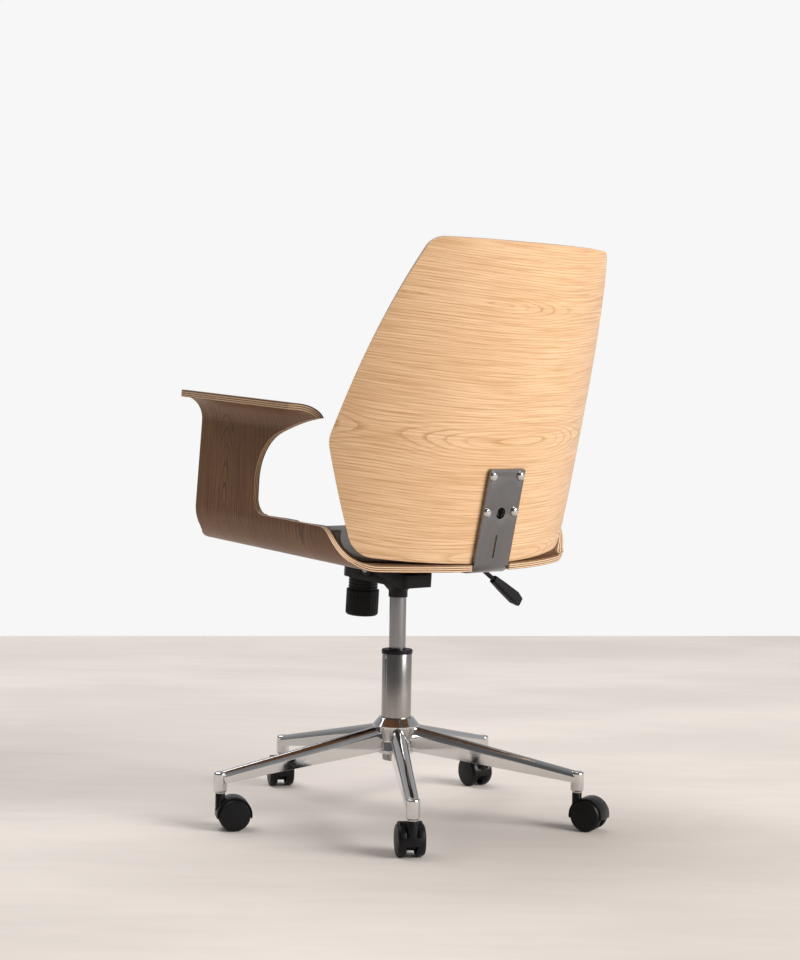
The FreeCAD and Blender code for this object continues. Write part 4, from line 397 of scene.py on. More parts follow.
def painted(name, tint, low, high, scale, relief):
    """A dark coat with an even fine texture: enamel or moulded nylon."""
    finish = Finish(name)
    spot = finish.place()
    fine = finish.noise(spot, scale, 2)
    cloud = finish.noise(spot, 30, 2)
    shade = finish.mix(cloud * 0.6, tint, [c * 2.2 + 0.001 for c in tint])
    finish.bump(fine, relief, 0.5)
    rough = finish.spread(fine * 0.5 + cloud * 0.5, 0.35, 0.65, low, high)
    return finish.set(Base_Color=shade, Roughness=rough, Specular_IOR_Level=0.2).material


def leather(name):
    """Pebbled leather, a little paler on its pebbles' tops."""
    soft = settings().soft
    finish = Finish(name)
    spot = finish.place()
    bend = finish.noise(spot, 90, 2, output=1)
    bend = finish.node("VectorMath", {0: bend, "Scale": 0.0012}, operation="SCALE")
    warped = finish.node("VectorMath", {0: spot, 1: bend}, operation="ADD")
    cells = finish.node("TexVoronoi", {"Vector": warped, "Scale": 1 / soft.grain}, feature="SMOOTH_F1")
    fine = finish.noise(spot, 1.6 / soft.grain, 3)
    rubbed = finish.noise(spot, 14, 3)
    height = finish.spread(cells, 0.1, 0.75, 1.0, 0.0) + fine * 0.35
    worn = finish.spread(rubbed, 0.35, 0.75) * 0.6 + height * 0.15
    shade = finish.mix(worn, soft.leather, soft.leather_worn)
    finish.bump(height, 0.00028, 0.7)
    rough = 0.44 + finish.spread(cells, 0.2, 0.8) * 0.14 - rubbed * 0.06
    finish.set(Base_Color=shade, Roughness=rough)
    return finish.set(Specular_IOR_Level=0.42, Sheen_Weight=0.08, Sheen_Roughness=0.5).material


def thread():
    """Sewing thread, twisted."""
    finish = Finish("Thread")
    x, y, z = finish.split(finish.place())
    twist = finish.maths("SINE", (x + y + z) * 5200)
    tint = settings().soft.thread
    finish.bump(twist, 0.00008, 0.5)
    shade = finish.mix(twist * 0.3 + 0.4, tint, [c * 1.8 for c in tint])
    return finish.set(Base_Color=shade, Roughness=0.6).material


FINISHES = {}


def finish_of(name):
    """A finish by its name, made when it is first used."""
    if name not in FINISHES:
        metal, soft = settings().metal, settings().soft
        makers = {
            "oak": back_veneer,
            "walnut": shell_veneer,
            "chrome": chrome,
            "thread": thread,
            "seat leather": lambda: leather("Seat leather"),
            "back leather": lambda: leather("Back leather"),
            "tube": lambda: brushed("Column tube", tuple(metal.satin), (900, 900, 3), 0.16, 0.28),
            "strip": lambda: brushed("Bracket strip", tuple(metal.strip), (900, 30, 6), 0.09, 0.19),
            "zinc": lambda: brushed("Zinc plate", tuple(metal.zinc), (300, 300, 300), 0.22, 0.36),
            "polished": lambda: brushed("Polished heads", tuple(metal.heads), (500, 500, 500), 0.10, 0.16),
            "cylinder": lambda: brushed("Drawn cylinder", tuple(metal.drawn), (700, 700, 2), 0.22, 0.34),
            "enamel": lambda: painted("Black enamel", tuple(metal.enamel), 0.32, 0.46, 700, 0.00004),
            "nylon": lambda: painted("Moulded nylon", tuple(soft.nylon), 0.34, 0.48, 1500, 0.00005),
            "hood": lambda: painted("Hood nylon", tuple(soft.nylon), 0.26, 0.38, 900, 0.00003),
            "grip": lambda: painted("Textured nylon", tuple(soft.nylon), 0.42, 0.55, 2300, 0.0001),
        }
        FINISHES[name] = makers[name]()
    return FINISHES[name]


# Meshes


def placed(name, data):
    """A new object of the scene."""
    thing = bpy.data.objects.new(name, data)
    bpy.context.scene.collection.objects.link(thing)
    return thing


def applied(holder):
    """The mesh of an object with its modifiers applied. The object is removed."""
    made = bpy.data.meshes.new_from_object(holder.evaluated_get(bpy.context.evaluated_depsgraph_get()))
    bpy.data.objects.remove(holder)
    return made


def rider(name, mesh, node):
    """A smooth-shaded mesh that rides on a CAD node's body."""
    piece = placed(name, mesh)
    for face in mesh.polygons:
        face.use_smooth = True
    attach(piece, BODY_OF[node])
    return piece


def add_piece(name, mesh, finish, node, smooth=35.0):
    """A finished mesh that rides with a CAD node and stands for it."""
    mesh.materials.clear()
    mesh.materials.append(finish_of(finish))
    piece = rider(name, mesh, node)
    mesh.set_sharp_from_angle(angle=math.radians(smooth))
    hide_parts(node)
    return piece


def merged(node):
    """A copy of a CAD node's mesh, its loose triangles joined."""
    mesh = NODES[node].data.copy()
    shape = bmesh.new()
    shape.from_mesh(mesh)
    bmesh.ops.remove_doubles(shape, verts=shape.verts, dist=2e-6)
    bmesh.ops.dissolve_degenerate(shape, edges=shape.edges, dist=1e-6)
    bmesh.ops.recalc_face_normals(shape, faces=shape.faces)
    shape.to_mesh(mesh)
    shape.free()
    while mesh.attributes.get("custom_normal"):
        mesh.attributes.remove(mesh.attributes["custom_normal"])
    return mesh


def eased(mesh, width):
    """The mesh with its hard edges rounded."""
    holder = placed("eased", mesh)
    ease = holder.modifiers.new("edges", "BEVEL")
    ease.width = width
    ease.segments = 2
    ease.limit_method = "ANGLE"
    ease.angle_limit = math.radians(40)
    ease.use_clamp_overlap = True
    ease.harden_normals = False
    return applied(holder)


def dress(node, finish, ease=0.0, smooth=35.0):
    """A smooth-shaded copy of a CAD node with its finish."""
    mesh = merged(node)
    if ease:
        mesh = eased(mesh, ease)
    return add_piece(node + "_dressed", mesh, finish, node, smooth)


def through_back(spots):
    """The direction through the bent back at points of its own frame."""
    ways = spots * (1, 1, 0) + (0, BACK_RADIUS, 0)
    return ways / np.linalg.norm(ways, axis=1, keepdims=True)


def through_seat(spots):
    """The direction through the bent seat shell at points of its own frame."""
    side, height = np.abs(spots[:, 0]), spots[:, 2]
    low = np.stack([np.maximum(side - SHELL_HALF + SHELL_BEND, 0), np.minimum(height - SHELL_BEND, 0)], 1)
    high = np.stack([
        np.maximum(SHELL_HALF + PAD_BEND - side, 0), -np.maximum(height - PAD_TOP + PLY + PAD_BEND, 0)], 1)
    ways = np.where((height > (SHELL_BEND + PAD_TOP) / 2)[:, None], high, low)
    ways = ways / np.maximum(np.linalg.norm(ways, axis=1, keepdims=True), 1e-9)
    return np.stack([ways[:, 0] * np.sign(spots[:, 0]), ways[:, 0] * 0, ways[:, 1]], 1)


def shade_bent(piece, origin, tilt, through):
    """Bent wood shaded by its true curve, whatever its triangles. Its edges keep their own shading."""
    mesh = piece.data
    turn = np.array(Matrix.Rotation(tilt, 3, "X"))
    corners = np.empty(len(mesh.loops), int)
    mesh.loops.foreach_get("vertex_index", corners)
    spots = points_of(mesh)[corners]
    true = through((spots - np.array(origin)) @ turn) @ turn.T
    sizes = [face.loop_total for face in mesh.polygons]
    flat = np.repeat(np.array([face.normal for face in mesh.polygons]), sizes, axis=0)
    facing = np.sum(true * flat, axis=1)
    on_sheet = np.abs(facing) > math.cos(SHEET_ANGLE)
    ways = np.where(on_sheet[:, None], true * np.sign(facing)[:, None], 0.0)
    mesh.normals_split_custom_set([tuple(w) for w in ways])


# Padding

# The cushions' cells, smoothing, stuffing pressure and cloth steps.
PAD_CELL = 0.005
PAD_ROUNDS = 4
STUFFING = 4
CLOTH_STEPS = 20

# A seam is drawn in twice, by a depth over a width: as a valley, then as a crease in it.
VALLEY = (0.0022, 0.0045)
CREASE = (0.0011, 0.0016)

# The stitches' pitch, the size of one bead of thread and how far it stands off the leather.
STITCH = 0.0042
BEAD = (0.0031, 0.0007, 0.0006)
STAND_OFF = 0.0002

# How far from the leather the search for a seam's points starts.
RUN_UP = 0.2


def remeshed(mesh, voxel):
    """The mesh as even small quads."""
    holder = placed("remeshed", mesh)
    cells = holder.modifiers.new("cells", "REMESH")
    cells.mode = "VOXEL"
    cells.voxel_size = voxel
    return applied(holder)


def points_of(mesh, what="co"):
    """A mesh's points as an array, or another of their three-part values."""
    flat = np.empty(len(mesh.vertices) * 3)
    mesh.vertices.foreach_get(what, flat)
    return flat.reshape(-1, 3)


def move_points(mesh, spots):
    """New places for a mesh's points."""
    mesh.vertices.foreach_set("co", spots.reshape(-1))
    mesh.update()


def relaxed(mesh, rounds):
    """The mesh with its small steps smoothed."""
    shape = bmesh.new()
    shape.from_mesh(mesh)
    for _ in range(rounds):
        bmesh.ops.smooth_vert(
            shape, verts=shape.verts, factor=0.5, use_axis_x=True, use_axis_y=True, use_axis_z=True)
    shape.to_mesh(mesh)
    shape.free()
    return mesh


def swollen(mesh, held, cap):
    """The mesh blown up as stuffed cloth. Held points stay, and none moves further than the cap."""
    rest = points_of(mesh)
    holder = placed("swollen", mesh)
    pins = holder.vertex_groups.new(name="held")
    pins.add([int(i) for i in np.nonzero(held)[0]], 1.0, "REPLACE")
    cloth = holder.modifiers.new("stuffing", "CLOTH")
    cloth.settings.use_pressure = True
    cloth.settings.uniform_pressure_force = STUFFING
    cloth.settings.quality = 6
    cloth.settings.vertex_group_mass = "held"
    cloth.settings.effector_weights.gravity = 0
    for number in range(CLOTH_STEPS):
        bpy.context.scene.frame_set(number + 1)
    made = applied(holder)
    bpy.context.scene.frame_set(1)
    shift = points_of(made) - rest
    far = np.linalg.norm(shift, axis=1, keepdims=True)
    shift *= np.minimum(1, cap / np.maximum(far, 1e-9))
    move_points(made, rest + shift)
    return made


def near_line(spots, line):
    """How far each point is from a line of points."""
    best = np.full(len(spots), 1e9)
    for start, end in zip(line[:-1], line[1:]):
        way = end - start
        share = np.clip(((spots - start) @ way) / (way @ way), 0, 1)
        best = np.minimum(best, np.linalg.norm(spots - start - share[:, None] * way, axis=1))
    return best


def sewn(mesh, lines, depth, width):
    """The mesh drawn in along its seams."""
    spots = points_of(mesh)
    ways = points_of(mesh, "normal")
    for line in lines:
        pull = depth * np.exp(-(near_line(spots, line) / width) ** 2)
        spots = spots - ways * pull[:, None]
    move_points(mesh, spots)
    return mesh


def subdivided(mesh):
    """The mesh with one level of subdivision."""
    holder = placed("subdivided", mesh)
    finer = holder.modifiers.new("finer", "SUBSURF")
    finer.levels = 1
    finer.render_levels = 1
    return applied(holder)


def laid(tree, spots, way):
    """Points moved along a direction onto a surface, from a little way before it."""
    found = []
    for spot in spots:
        hit = tree.ray_cast(Vector(spot) - Vector(way) * RUN_UP, Vector(way))[0]
        if hit is not None:
            found.append(np.array(hit))
    return np.array(found)


def tree_of(mesh):
    """A mesh ready for finding points on it."""
    return BVHTree.FromPolygons([v.co for v in mesh.vertices], [p.vertices for p in mesh.polygons])


def stitch_mesh():
    """One stitch: a short bead of thread along X."""
    shape = bmesh.new()
    bmesh.ops.create_uvsphere(shape, u_segments=8, v_segments=5, radius=0.5)
    for vertex in shape.verts:
        vertex.co = vertex.co * Vector(BEAD)
    mesh = bpy.data.meshes.new("stitch")
    shape.to_mesh(mesh)
    shape.free()
    return mesh


def add_input(tree, name, kind, default=None):
    """A named input of a geometry tree."""
    made = tree.interface.new_socket(name, in_out="INPUT", socket_type=kind)
    if default is not None:
        made.default_value = default
    return made.identifier


def stitching(name, line, ways, node):
    """A row of stitches along a line, made by Geometry Nodes."""
    path = bpy.data.meshes.new(name + "_path")
    path.from_pydata([tuple(p) for p in line], [(i, i + 1) for i in range(len(line) - 1)], [])
    lift = path.attributes.new("lift", "FLOAT_VECTOR", "POINT")
    lift.data.foreach_set("vector", np.asarray(ways, float).reshape(-1))
    one = placed(name + "_one", stitch_mesh())
    tree = bpy.data.node_groups.new(name + "_row", "GeometryNodeTree")
    tree.interface.new_socket("Geometry", in_out="INPUT", socket_type="NodeSocketGeometry")
    tree.interface.new_socket("Geometry", in_out="OUTPUT", socket_type="NodeSocketGeometry")
    pitch = add_input(tree, "Pitch", "NodeSocketFloat", STITCH)
    bead = add_input(tree, "Stitch", "NodeSocketObject")

    def add(kind, **chosen):
        made = tree.nodes.new(kind)
        for key, setting in chosen.items():
            setattr(made, key, setting)
        return made

    start = add("NodeGroupInput")
    end = add("NodeGroupOutput")
    curve = add("GeometryNodeMeshToCurve")
    even = add("GeometryNodeResampleCurve", mode="LENGTH")
    tangent = add("GeometryNodeInputTangent")
    up = add("GeometryNodeInputNamedAttribute", data_type="FLOAT_VECTOR")
    up.inputs["Name"].default_value = "lift"
    first = add("FunctionNodeAlignEulerToVector", axis="X")
    second = add("FunctionNodeAlignEulerToVector", axis="Z", pivot_axis="X")
    info = add("GeometryNodeObjectInfo")
    put = add("GeometryNodeInstanceOnPoints")
    real = add("GeometryNodeRealizeInstances")
    paint = add("GeometryNodeSetMaterial")
    paint.inputs["Material"].default_value = finish_of("thread")
    for a, b in (
            (start.outputs[0], curve.inputs["Mesh"]),
            (curve.outputs[0], even.inputs["Curve"]),
            (start.outputs["Pitch"], even.inputs["Length"]),
            (even.outputs[0], put.inputs["Points"]),
            (start.outputs["Stitch"], info.inputs["Object"]),
            (info.outputs["Geometry"], put.inputs["Instance"]),
            (tangent.outputs[0], first.inputs["Vector"]),
            (first.outputs[0], second.inputs["Rotation"]),
            (up.outputs[0], second.inputs["Vector"]),
            (second.outputs[0], put.inputs["Rotation"]),
            (put.outputs[0], real.inputs[0]),
            (real.outputs[0], paint.inputs[0]),
            (paint.outputs[0], end.inputs[0])):
        tree.links.new(a, b)
    holder = placed(name + "_holder", path)
    row = holder.modifiers.new("row", "NODES")
    row.node_group = tree
    row[pitch] = STITCH
    row[bead] = one
    holder.update_tag()
    mesh = applied(holder)
    bpy.data.objects.remove(one)
    return rider(name, mesh, node)


def stitch_seam(name, tree, line, node):
    """Stitches laid on a surface along a seam."""
    spots = []
    ways = []
    for spot in line:
        hit, way, _, _ = tree.find_nearest(Vector(spot))
        spots.append(np.array(hit + way * STAND_OFF))
        ways.append(np.array(way))
    return stitching(name, spots, ways, node)


def pad_piece(node, finish, origin, tilt, is_held, seams, trim=None):
    """A cushion: trimmed, swollen, sewn, subdivided and stitched.

    What is held, the seams and the trim are told in the seat's or the back's own frame. A seam is its points
    and the direction in which they are laid on the leather.
    """
    turn = np.array(Matrix.Rotation(-tilt, 3, "X"))
    mesh = relaxed(remeshed(merged(node), PAD_CELL), PAD_ROUNDS)
    rest = (points_of(mesh) - np.array(origin)) @ turn.T
    if trim:
        rest = trim(rest)
        move_points(mesh, rest @ turn + np.array(origin))
    ways = points_of(mesh, "normal") @ turn.T
    mesh = swollen(mesh, is_held(rest, ways), settings().soft.swell)
    tree = tree_of(mesh)
    back = np.array(Matrix.Rotation(tilt, 3, "X"))
    lines = []
    for line, way in seams:
        row = np.array(line) @ back.T + np.array(origin)
        lines.append(laid(tree, row, back @ np.array(way)))
    mesh = subdivided(sewn(mesh, lines, *VALLEY))
    mesh = sewn(mesh, lines, *CREASE)
    piece = add_piece(node + "_padded", mesh, finish, node, 180)
    done = tree_of(mesh)
    for number, line in enumerate(lines):
        stitch_seam("%s_stitches_%d" % (node, number + 1), done, line, node)


# The seat cushion's seams, in the seat's frame: its side seams and their ends, its front seam and half its
# length, and the height from which they are laid on the leather.
SIDE_SEAM = 0.186
SIDE_SEAM_ENDS = (-0.215, 0.16)
FRONT_SEAM = -0.150
FRONT_SEAM_HALF = 0.184
SEAM_START = 0.1

# The seat cushion is held where it looks down by more than DOWNWARD, beyond SEAT_PAD_HALF of its middle,
# below SEAT_PAD_FOOT and in front of SEAT_PAD_FRONT, and the back cushion up to BACK_PAD_FOOT from the wood.
DOWNWARD = -0.3
SEAT_PAD_HALF = 0.2445
SEAT_PAD_FOOT = 0.014
SEAT_PAD_FRONT = -0.18
BACK_PAD_FOOT = 0.003

# The seat cushion is thinner in its front middle. This starts in front of THIN_FRONT and within THIN_SIDE of
# the middle, grows over THIN_LENGTHS, is for points below THIN_HEIGHT, and takes THIN_SHARE of the height.
THIN_FRONT = -0.09
THIN_SIDE = 0.215
THIN_LENGTHS = (0.11, 0.05)
THIN_HEIGHT = 0.04
THIN_SHARE = 0.62

# The back cushion's seams, in the back's frame: the corners of its round seam's right half, upwards, and the
# heights of its cross seams.
BACK_CORNERS = ((0.195, 0.115), (0.228, 0.178), (0.160, 0.475))
CROSS_SEAMS = (0.235, 0.355)

# How many points a straight seam has, and how many each side of the round seam.
SEAM_POINTS = 60
SIDE_POINTS = 24


def seat_held(spots, ways):
    """The seat cushion's points that rest on the shell, at its sides or at its front edge."""
    on_shell = (ways[:, 2] < DOWNWARD) | (spots[:, 2] < SEAT_PAD_FOOT)
    return on_shell | (np.abs(spots[:, 0]) > SEAT_PAD_HALF) | (spots[:, 1] < SEAT_PAD_FRONT)


def seat_seams():
    """The seat cushion's two side seams and its front seam."""
    down = (0, 0, -1)
    seams = []
    along = np.linspace(*SIDE_SEAM_ENDS, SEAM_POINTS)
    for side in (-SIDE_SEAM, SIDE_SEAM):
        seams.append(([(side, y, SEAM_START) for y in along], down))
    across = np.linspace(-FRONT_SEAM_HALF, FRONT_SEAM_HALF, SEAM_POINTS)
    seams.append(([(x, FRONT_SEAM, SEAM_START) for x in across], down))
    return seams


def smooth_step(share):
    """A share held from 0 to 1, with soft ends."""
    share = np.clip(share, 0, 1)
    return share * share * (3 - 2 * share)


def thinned(spots):
    """The seat cushion's points with its front middle lowered onto the shell."""
    ahead = smooth_step((THIN_FRONT - spots[:, 1]) / THIN_LENGTHS[0])
    share = ahead * smooth_step((THIN_SIDE - np.abs(spots[:, 0])) / THIN_LENGTHS[1])
    height = spots[:, 2]
    lower = np.where(height < THIN_HEIGHT, PLY + (height - PLY) * (1 - THIN_SHARE * share), height)
    return np.stack([spots[:, 0], spots[:, 1], lower], 1)


def back_held(spots, ways):
    """The back cushion's points that rest on the shell."""
    return np.hypot(spots[:, 0], spots[:, 1] + BACK_RADIUS) > BACK_RADIUS - PLY - BACK_PAD_FOOT


def back_seams():
    """The back cushion's round seam and its cross seams."""
    ahead = (0, 1, 0)
    first, last = BACK_CORNERS[0], BACK_CORNERS[1:]
    corners = [(-first[0], first[1]), first, *last, *[(-x, z) for x, z in reversed(last)]]
    ring = []
    for start, end in zip(corners, corners[1:] + corners[:1]):
        for share in np.linspace(0, 1, SIDE_POINTS, endpoint=False):
            x, z = [a + (b - a) * share for a, b in zip(start, end)]
            ring.append((x, 0, z))
    seams = [(ring + ring[:1], ahead)]
    widths, heights = zip(*last)
    for height in CROSS_SEAMS:
        half = np.interp(height, heights, widths)
        seams.append(([(x, 0, height) for x in np.linspace(-half, half, SEAM_POINTS)], ahead))
    return seams


# Operators, one for each piece or group of like pieces


class DESK_OT_seat_shell(bpy.types.Operator):
    """The one-piece bentwood seat with its walls, arms and arm pads"""
    bl_idname = "desk.seat_shell"
    bl_label = "Seat shell"

    def execute(self, context):
        piece = dress("seat_shell", "walnut", ease=0.0006)
        shade_bent(piece, SEAT_ORIGIN, SEAT_TILT, through_seat)
        return {"FINISHED"}


class DESK_OT_back_shell(bpy.types.Operator):
    """The curved bentwood back"""
    bl_idname = "desk.back_shell"
    bl_label = "Back shell"

    def execute(self, context):
        piece = dress("back_shell", "oak", ease=0.0006)
        shade_bent(piece, BACK_ORIGIN, BACK_RECLINE, through_back)
        return {"FINISHED"}


class DESK_OT_seat_cushion(bpy.types.Operator):
    """The leather cushion that lines the seat"""
    bl_idname = "desk.seat_cushion"
    bl_label = "Seat cushion"

    def execute(self, context):
        pad_piece(
            "seat_cushion", "seat leather", SEAT_ORIGIN, SEAT_TILT, seat_held, seat_seams(),
            trim=thinned)
        return {"FINISHED"}


class DESK_OT_back_cushion(bpy.types.Operator):
    """The leather cushion on the front of the back"""
    bl_idname = "desk.back_cushion"
    bl_label = "Back cushion"

    def execute(self, context):
        pad_piece(
            "back_cushion", "back leather", BACK_ORIGIN, BACK_RECLINE, back_held, back_seams())
        return {"FINISHED"}


class DESK_OT_back_bracket(bpy.types.Operator):
    """The bent steel bracket and its domed screws"""
    bl_idname = "desk.back_bracket"
    bl_label = "Back bracket"

    def execute(self, context):
        dress("back_bracket", "strip", ease=0.0006)
        dress("bracket_screws", "polished", smooth=50)
        return {"FINISHED"}


class DESK_OT_fasteners(bpy.types.Operator):
    """Bolts, nuts and the other plated small parts"""
    bl_idname = "desk.fasteners"
    bl_label = "Fasteners"

    def execute(self, context):
        for node in (
                "back_tee_nuts", "seat_tee_nuts", "seat_bolts", "pivot_pin", "tension_bolt", "spring_washer",
                "thrust_bearing", "foot_washer", "retaining_clip", "piston_rod", "release_pin"):
            dress(node, "zinc")
        spring = dress("tension_spring", "zinc")
        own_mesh(spring)
        return {"FINISHED"}


class DESK_OT_star(bpy.types.Operator):
    """The chromed hub and legs"""
    bl_idname = "desk.star"
    bl_label = "Star base"

    def execute(self, context):
        dress("base_hub", "chrome", ease=0.0008)
        for number in range(1, 6):
            dress("star_leg_%d" % number, "chrome", ease=0.0005)
        return {"FINISHED"}


class DESK_OT_column(bpy.types.Operator):
    """The column tube, its guide bush and the gas cylinder"""
    bl_idname = "desk.column"
    bl_label = "Column"

    def execute(self, context):
        dress("column_tube", "tube", ease=0.0004)
        dress("guide_bush", "nylon", ease=0.0004)
        dress("gas_cylinder", "cylinder", ease=0.0004)
        return {"FINISHED"}


class DESK_OT_casters(bpy.types.Operator):
    """The casters: stems, hoods, axles and wheels"""
    bl_idname = "desk.casters"
    bl_label = "Casters"

    def execute(self, context):
        for number in range(1, 6):
            dress("caster_stem_%d" % number, "zinc")
            dress("caster_axle_%d" % number, "zinc")
            dress("caster_housing_%d" % number, "hood", ease=0.0006)
            dress("caster_wheel_left_%d" % number, "nylon", ease=0.0006)
            dress("caster_wheel_right_%d" % number, "nylon", ease=0.0006)
        return {"FINISHED"}


class DESK_OT_mechanism(bpy.types.Operator):
    """The tilt mechanism, its spring cup and the seat plate"""
    bl_idname = "desk.mechanism"
    bl_label = "Tilt mechanism"

    def execute(self, context):
        dress("tilt_housing", "enamel", ease=0.0006)
        dress("spring_cup", "enamel", ease=0.0004)
        dress("seat_plate", "enamel", ease=0.0004)
        return {"FINISHED"}


class DESK_OT_controls(bpy.types.Operator):
    """The tension knob and the height lever"""
    bl_idname = "desk.controls"
    bl_label = "Knob and lever"

    def execute(self, context):
        dress("tension_knob", "grip", ease=0.0004)
        dress("lever_ball", "nylon")
        dress("lever_rod", "enamel")
        dress("lever_handle", "grip", ease=0.0006)
        return {"FINISHED"}


# Stage

# The camera as it was solved: its place, its turns, its focal length in pixels, the picture's size in pixels
# and the row of pixels where the floor ends. Before its pitch and roll it looks level at the chair's axis.
CAMERA_SPOT = (2.143, 2.443, 0.700)
CAMERA_PITCH = -0.0406
CAMERA_ROLL = 0.0166
FOCAL = 1943
PICTURE = (800, 960)
FLOOR_LINE = 636

# How far the floor comes towards the camera and beyond it, and how far it goes on to either side.
FLOOR_NEAR = 12
FLOOR_WIDE = 8

# The light from all sides: heights from 0, straight down, to 1, straight up, with their colours.
SKY = (
    (0.0, (0.60, 0.57, 0.54)),
    (0.5, (0.98, 0.98, 1.0)),
    (0.64, (0.80, 0.80, 0.82)),
    (1.0, (0.55, 0.55, 0.57)),
)

# This light is weaker from one side: the side's direction, the span over which it falls off along that
# direction, and the share that is left.
DIM_SIDE = (1.0, 0.1, 0.0)
DIM_SPAN = (-0.3, 0.8)
DIM_SHARE = 0.3


def camera_axes():
    """The camera's right, up and forward directions."""
    plan = math.atan2(CAMERA_SPOT[1], CAMERA_SPOT[0])
    level = Vector((-math.cos(plan), -math.sin(plan), 0))
    forward = level * math.cos(CAMERA_PITCH) + Vector((0, 0, math.sin(CAMERA_PITCH)))
    right = level.cross(Vector((0, 0, 1)))
    up = right.cross(forward)
    cosine, sine = math.cos(CAMERA_ROLL), math.sin(CAMERA_ROLL)
    return right * cosine + up * sine, up * cosine - right * sine, forward


def floor_at(across, down):
    """The point of the floor that the picture shows at a pixel."""
    right, up, forward = camera_axes()
    way = forward * FOCAL + right * (across - PICTURE[0] / 2) - up * (down - PICTURE[1] / 2)
    spot = Vector(CAMERA_SPOT)
    return spot - way * (spot.z / way.z)


def add_camera():
    """The camera, where the photograph has it."""
    right, up, forward = camera_axes()
    data = bpy.data.cameras.new("Camera")
    data.sensor_width = 36
    data.lens = FOCAL / PICTURE[1] * data.sensor_width
    camera = placed("Camera", data)
    camera.matrix_world = Matrix((
        (right.x, up.x, -forward.x, CAMERA_SPOT[0]),
        (right.y, up.y, -forward.y, CAMERA_SPOT[1]),
        (right.z, up.z, -forward.z, CAMERA_SPOT[2]),
        (0, 0, 0, 1)))
    bpy.context.scene.camera = camera


def floor_finish(tint):
    """A plain floor with long faint clouds, as trowelled plaster has."""
    finish = Finish("Floor")
    x, y, _ = finish.split(finish.place())
    across, away = x * -0.75 + y * 0.66, x * 0.66 + y * 0.75
    cloud = finish.noise(finish.join(across * 0.7, away * 1.5, 0), 1.5, 5, 0.55)
    fine = finish.noise(finish.join(across * 2, away * 14, 0), 2, 4)
    darker, paler = [c * 0.93 for c in tint], [min(c * 1.04, 0.97) for c in tint]
    shade = finish.mix(finish.spread(cloud, 0.36, 0.64), darker, paler)
    shade = finish.mix(finish.spread(fine, 0.4, 0.75) * 0.12, shade, [c * 0.7 for c in tint])
    return finish.set(Base_Color=shade, Roughness=0.7, Specular_IOR_Level=0.1).material


def add_plane(name, corners, material):
    """A flat piece of the stage."""
    mesh = bpy.data.meshes.new(name)
    mesh.from_pydata([tuple(c) for c in corners], [], [tuple(range(len(corners)))])
    mesh.materials.append(material)
    plane = placed(name, mesh)


def add_light(name, spot, target, size, power, tint=(1, 1, 1)):
    """A square soft light, which the camera doesn't see."""
    data = bpy.data.lights.new(name, "AREA")
    data.size = size
    data.energy = power
    data.color = tint
    light = placed(name, data)
    light.location = spot
    light.visible_camera = False
    light.rotation_euler = (Vector(target) - Vector(spot)).to_track_quat("-Z", "Y").to_euler()


def add_world(stage):
    """The studio: a near-white wall for the camera, and a light from all sides for the chair."""
    world = bpy.data.worlds.new("Studio")
    bpy.context.scene.world = world
    world.use_nodes = True
    nodes, links = world.node_tree.nodes, world.node_tree.links
    glow = nodes["Background"]
    wall = nodes.new("ShaderNodeBackground")
    wall.inputs["Color"].default_value = tuple(stage.wall) + (1,)
    spot = nodes.new("ShaderNodeTexCoord")
    parts = nodes.new("ShaderNodeSeparateXYZ")
    ramp = nodes.new("ShaderNodeValToRGB")
    path = nodes.new("ShaderNodeLightPath")
    mix = nodes.new("ShaderNodeMixShader")
    while len(ramp.color_ramp.elements) < len(SKY):
        ramp.color_ramp.elements.new(0.5)
    for element, (height, shade) in zip(ramp.color_ramp.elements, SKY):
        element.position = height
        element.color = shade + (1,)
    half = nodes.new("ShaderNodeMath")
    half.operation = "MULTIPLY_ADD"
    half.inputs[1].default_value = 0.5
    half.inputs[2].default_value = 0.5
    toward = nodes.new("ShaderNodeVectorMath")
    toward.operation = "DOT_PRODUCT"
    toward.inputs[1].default_value = DIM_SIDE
    dim = nodes.new("ShaderNodeMapRange")
    dim.interpolation_type = "SMOOTHSTEP"
    bounds = (*DIM_SPAN, stage.fill, stage.fill * DIM_SHARE)
    for socket, bound in zip(("From Min", "From Max", "To Min", "To Max"), bounds):
        dim.inputs[socket].default_value = bound
    for a, b in (
            (spot.outputs["Generated"], toward.inputs[0]),
            (toward.outputs["Value"], dim.inputs[0]),
            (dim.outputs[0], glow.inputs["Strength"]),
            (spot.outputs["Generated"], parts.inputs[0]),
            (parts.outputs["Z"], half.inputs[0]),
            (half.outputs[0], ramp.inputs[0]),
            (ramp.outputs[0], glow.inputs["Color"]),
            (path.outputs["Is Camera Ray"], mix.inputs[0]),
            (glow.outputs[0], mix.inputs[1]),
            (wall.outputs[0], mix.inputs[2]),
            (mix.outputs[0], nodes["World Output"].inputs[0])):
        links.new(a, b)


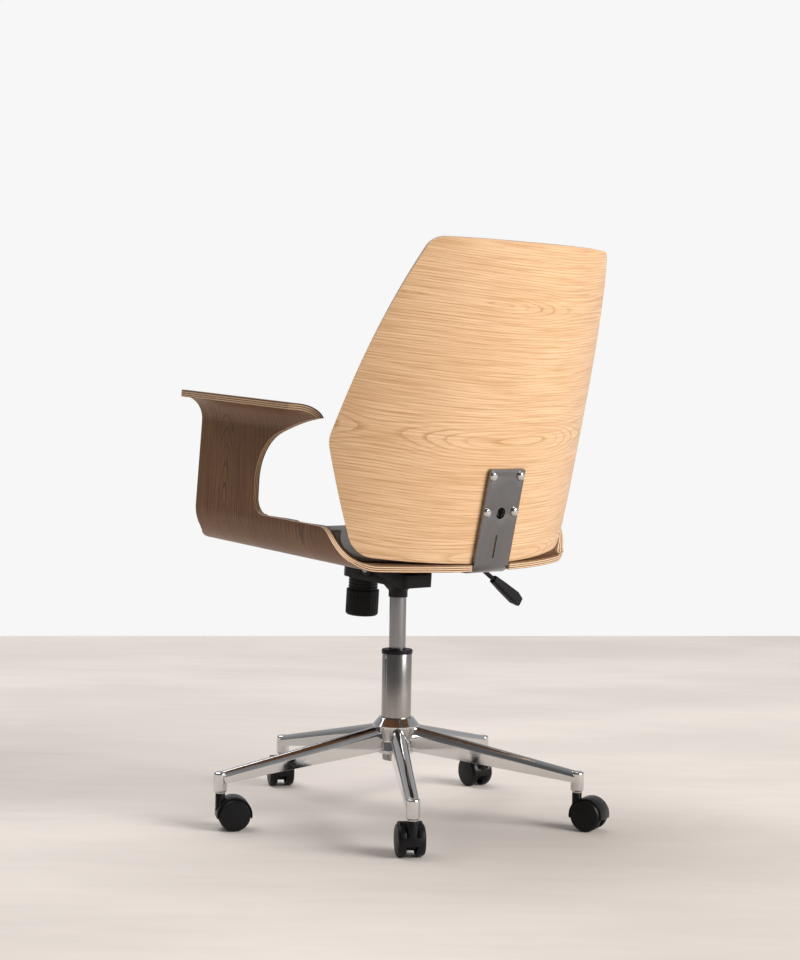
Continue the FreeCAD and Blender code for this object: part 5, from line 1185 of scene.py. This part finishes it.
class DESK_OT_stage(bpy.types.Operator):
    """The camera, the lights, the floor and the wall"""
    bl_idname = "desk.stage"
    bl_label = "Stage"

    def execute(self, context):
        stage = settings().stage
        add_camera()
        left, right = floor_at(0, FLOOR_LINE), floor_at(PICTURE[0], FLOOR_LINE)
        across = (right - left).normalized()
        near = Vector((across.y, -across.x, 0)) * FLOOR_NEAR
        far_left, far_right = left - across * FLOOR_WIDE, right + across * FLOOR_WIDE
        corners = (far_left, far_right, far_right + near, far_left + near)
        add_plane("floor", corners, floor_finish(stage.floor))
        warm = (1, 0.985, 0.96)
        add_light("key", spot=(-2.6, 6.9, 3.8), target=(0, 0.1, 0.5), size=4.2, power=stage.key, tint=warm)
        add_light("top", spot=(0.6, -3.0, 6.0), target=(0, -1.5, 0), size=6.0, power=300)
        add_world(stage)
        context.scene.view_settings.view_transform = "Standard"
        return {"FINISHED"}


OPERATORS = (
    DESK_OT_seat_shell, DESK_OT_back_shell, DESK_OT_seat_cushion, DESK_OT_back_cushion, DESK_OT_back_bracket,
    DESK_OT_fasteners, DESK_OT_star, DESK_OT_column, DESK_OT_casters, DESK_OT_mechanism, DESK_OT_controls,
    DESK_OT_stage,
)


class DESK_PT_chair(bpy.types.Panel):
    """The chair's pieces and settings"""
    bl_label = "Desk chair"
    bl_idname = "DESK_PT_chair"
    bl_space_type = "VIEW_3D"
    bl_region_type = "UI"
    bl_category = "Desk chair"

    def draw(self, context):
        for operator in OPERATORS:
            self.layout.operator(operator.bl_idname)
        for group in (settings().wood, settings().metal, settings().soft, settings().stage):
            box = self.layout.box()
            for name in group.__annotations__:
                box.prop(group, name)


GROUPS = (DESK_PG_wood, DESK_PG_metal, DESK_PG_soft, DESK_PG_stage, DESK_PG_chair)
CLASSES = GROUPS + OPERATORS + (DESK_PT_chair,)


def register():
    """Register the classes and the settings."""
    for cls in CLASSES:
        bpy.utils.register_class(cls)
    bpy.types.Scene.desk_chair = PointerProperty(type=DESK_PG_chair)


def unregister():
    """Take the classes and the settings away."""
    del bpy.types.Scene.desk_chair
    for cls in reversed(CLASSES):
        bpy.utils.unregister_class(cls)


def main():
    """Make every piece."""
    register()
    for operator in OPERATORS:
        group, name = operator.bl_idname.split(".")
        getattr(getattr(bpy.ops, group), name)()


if __name__ == "__main__":
    main()
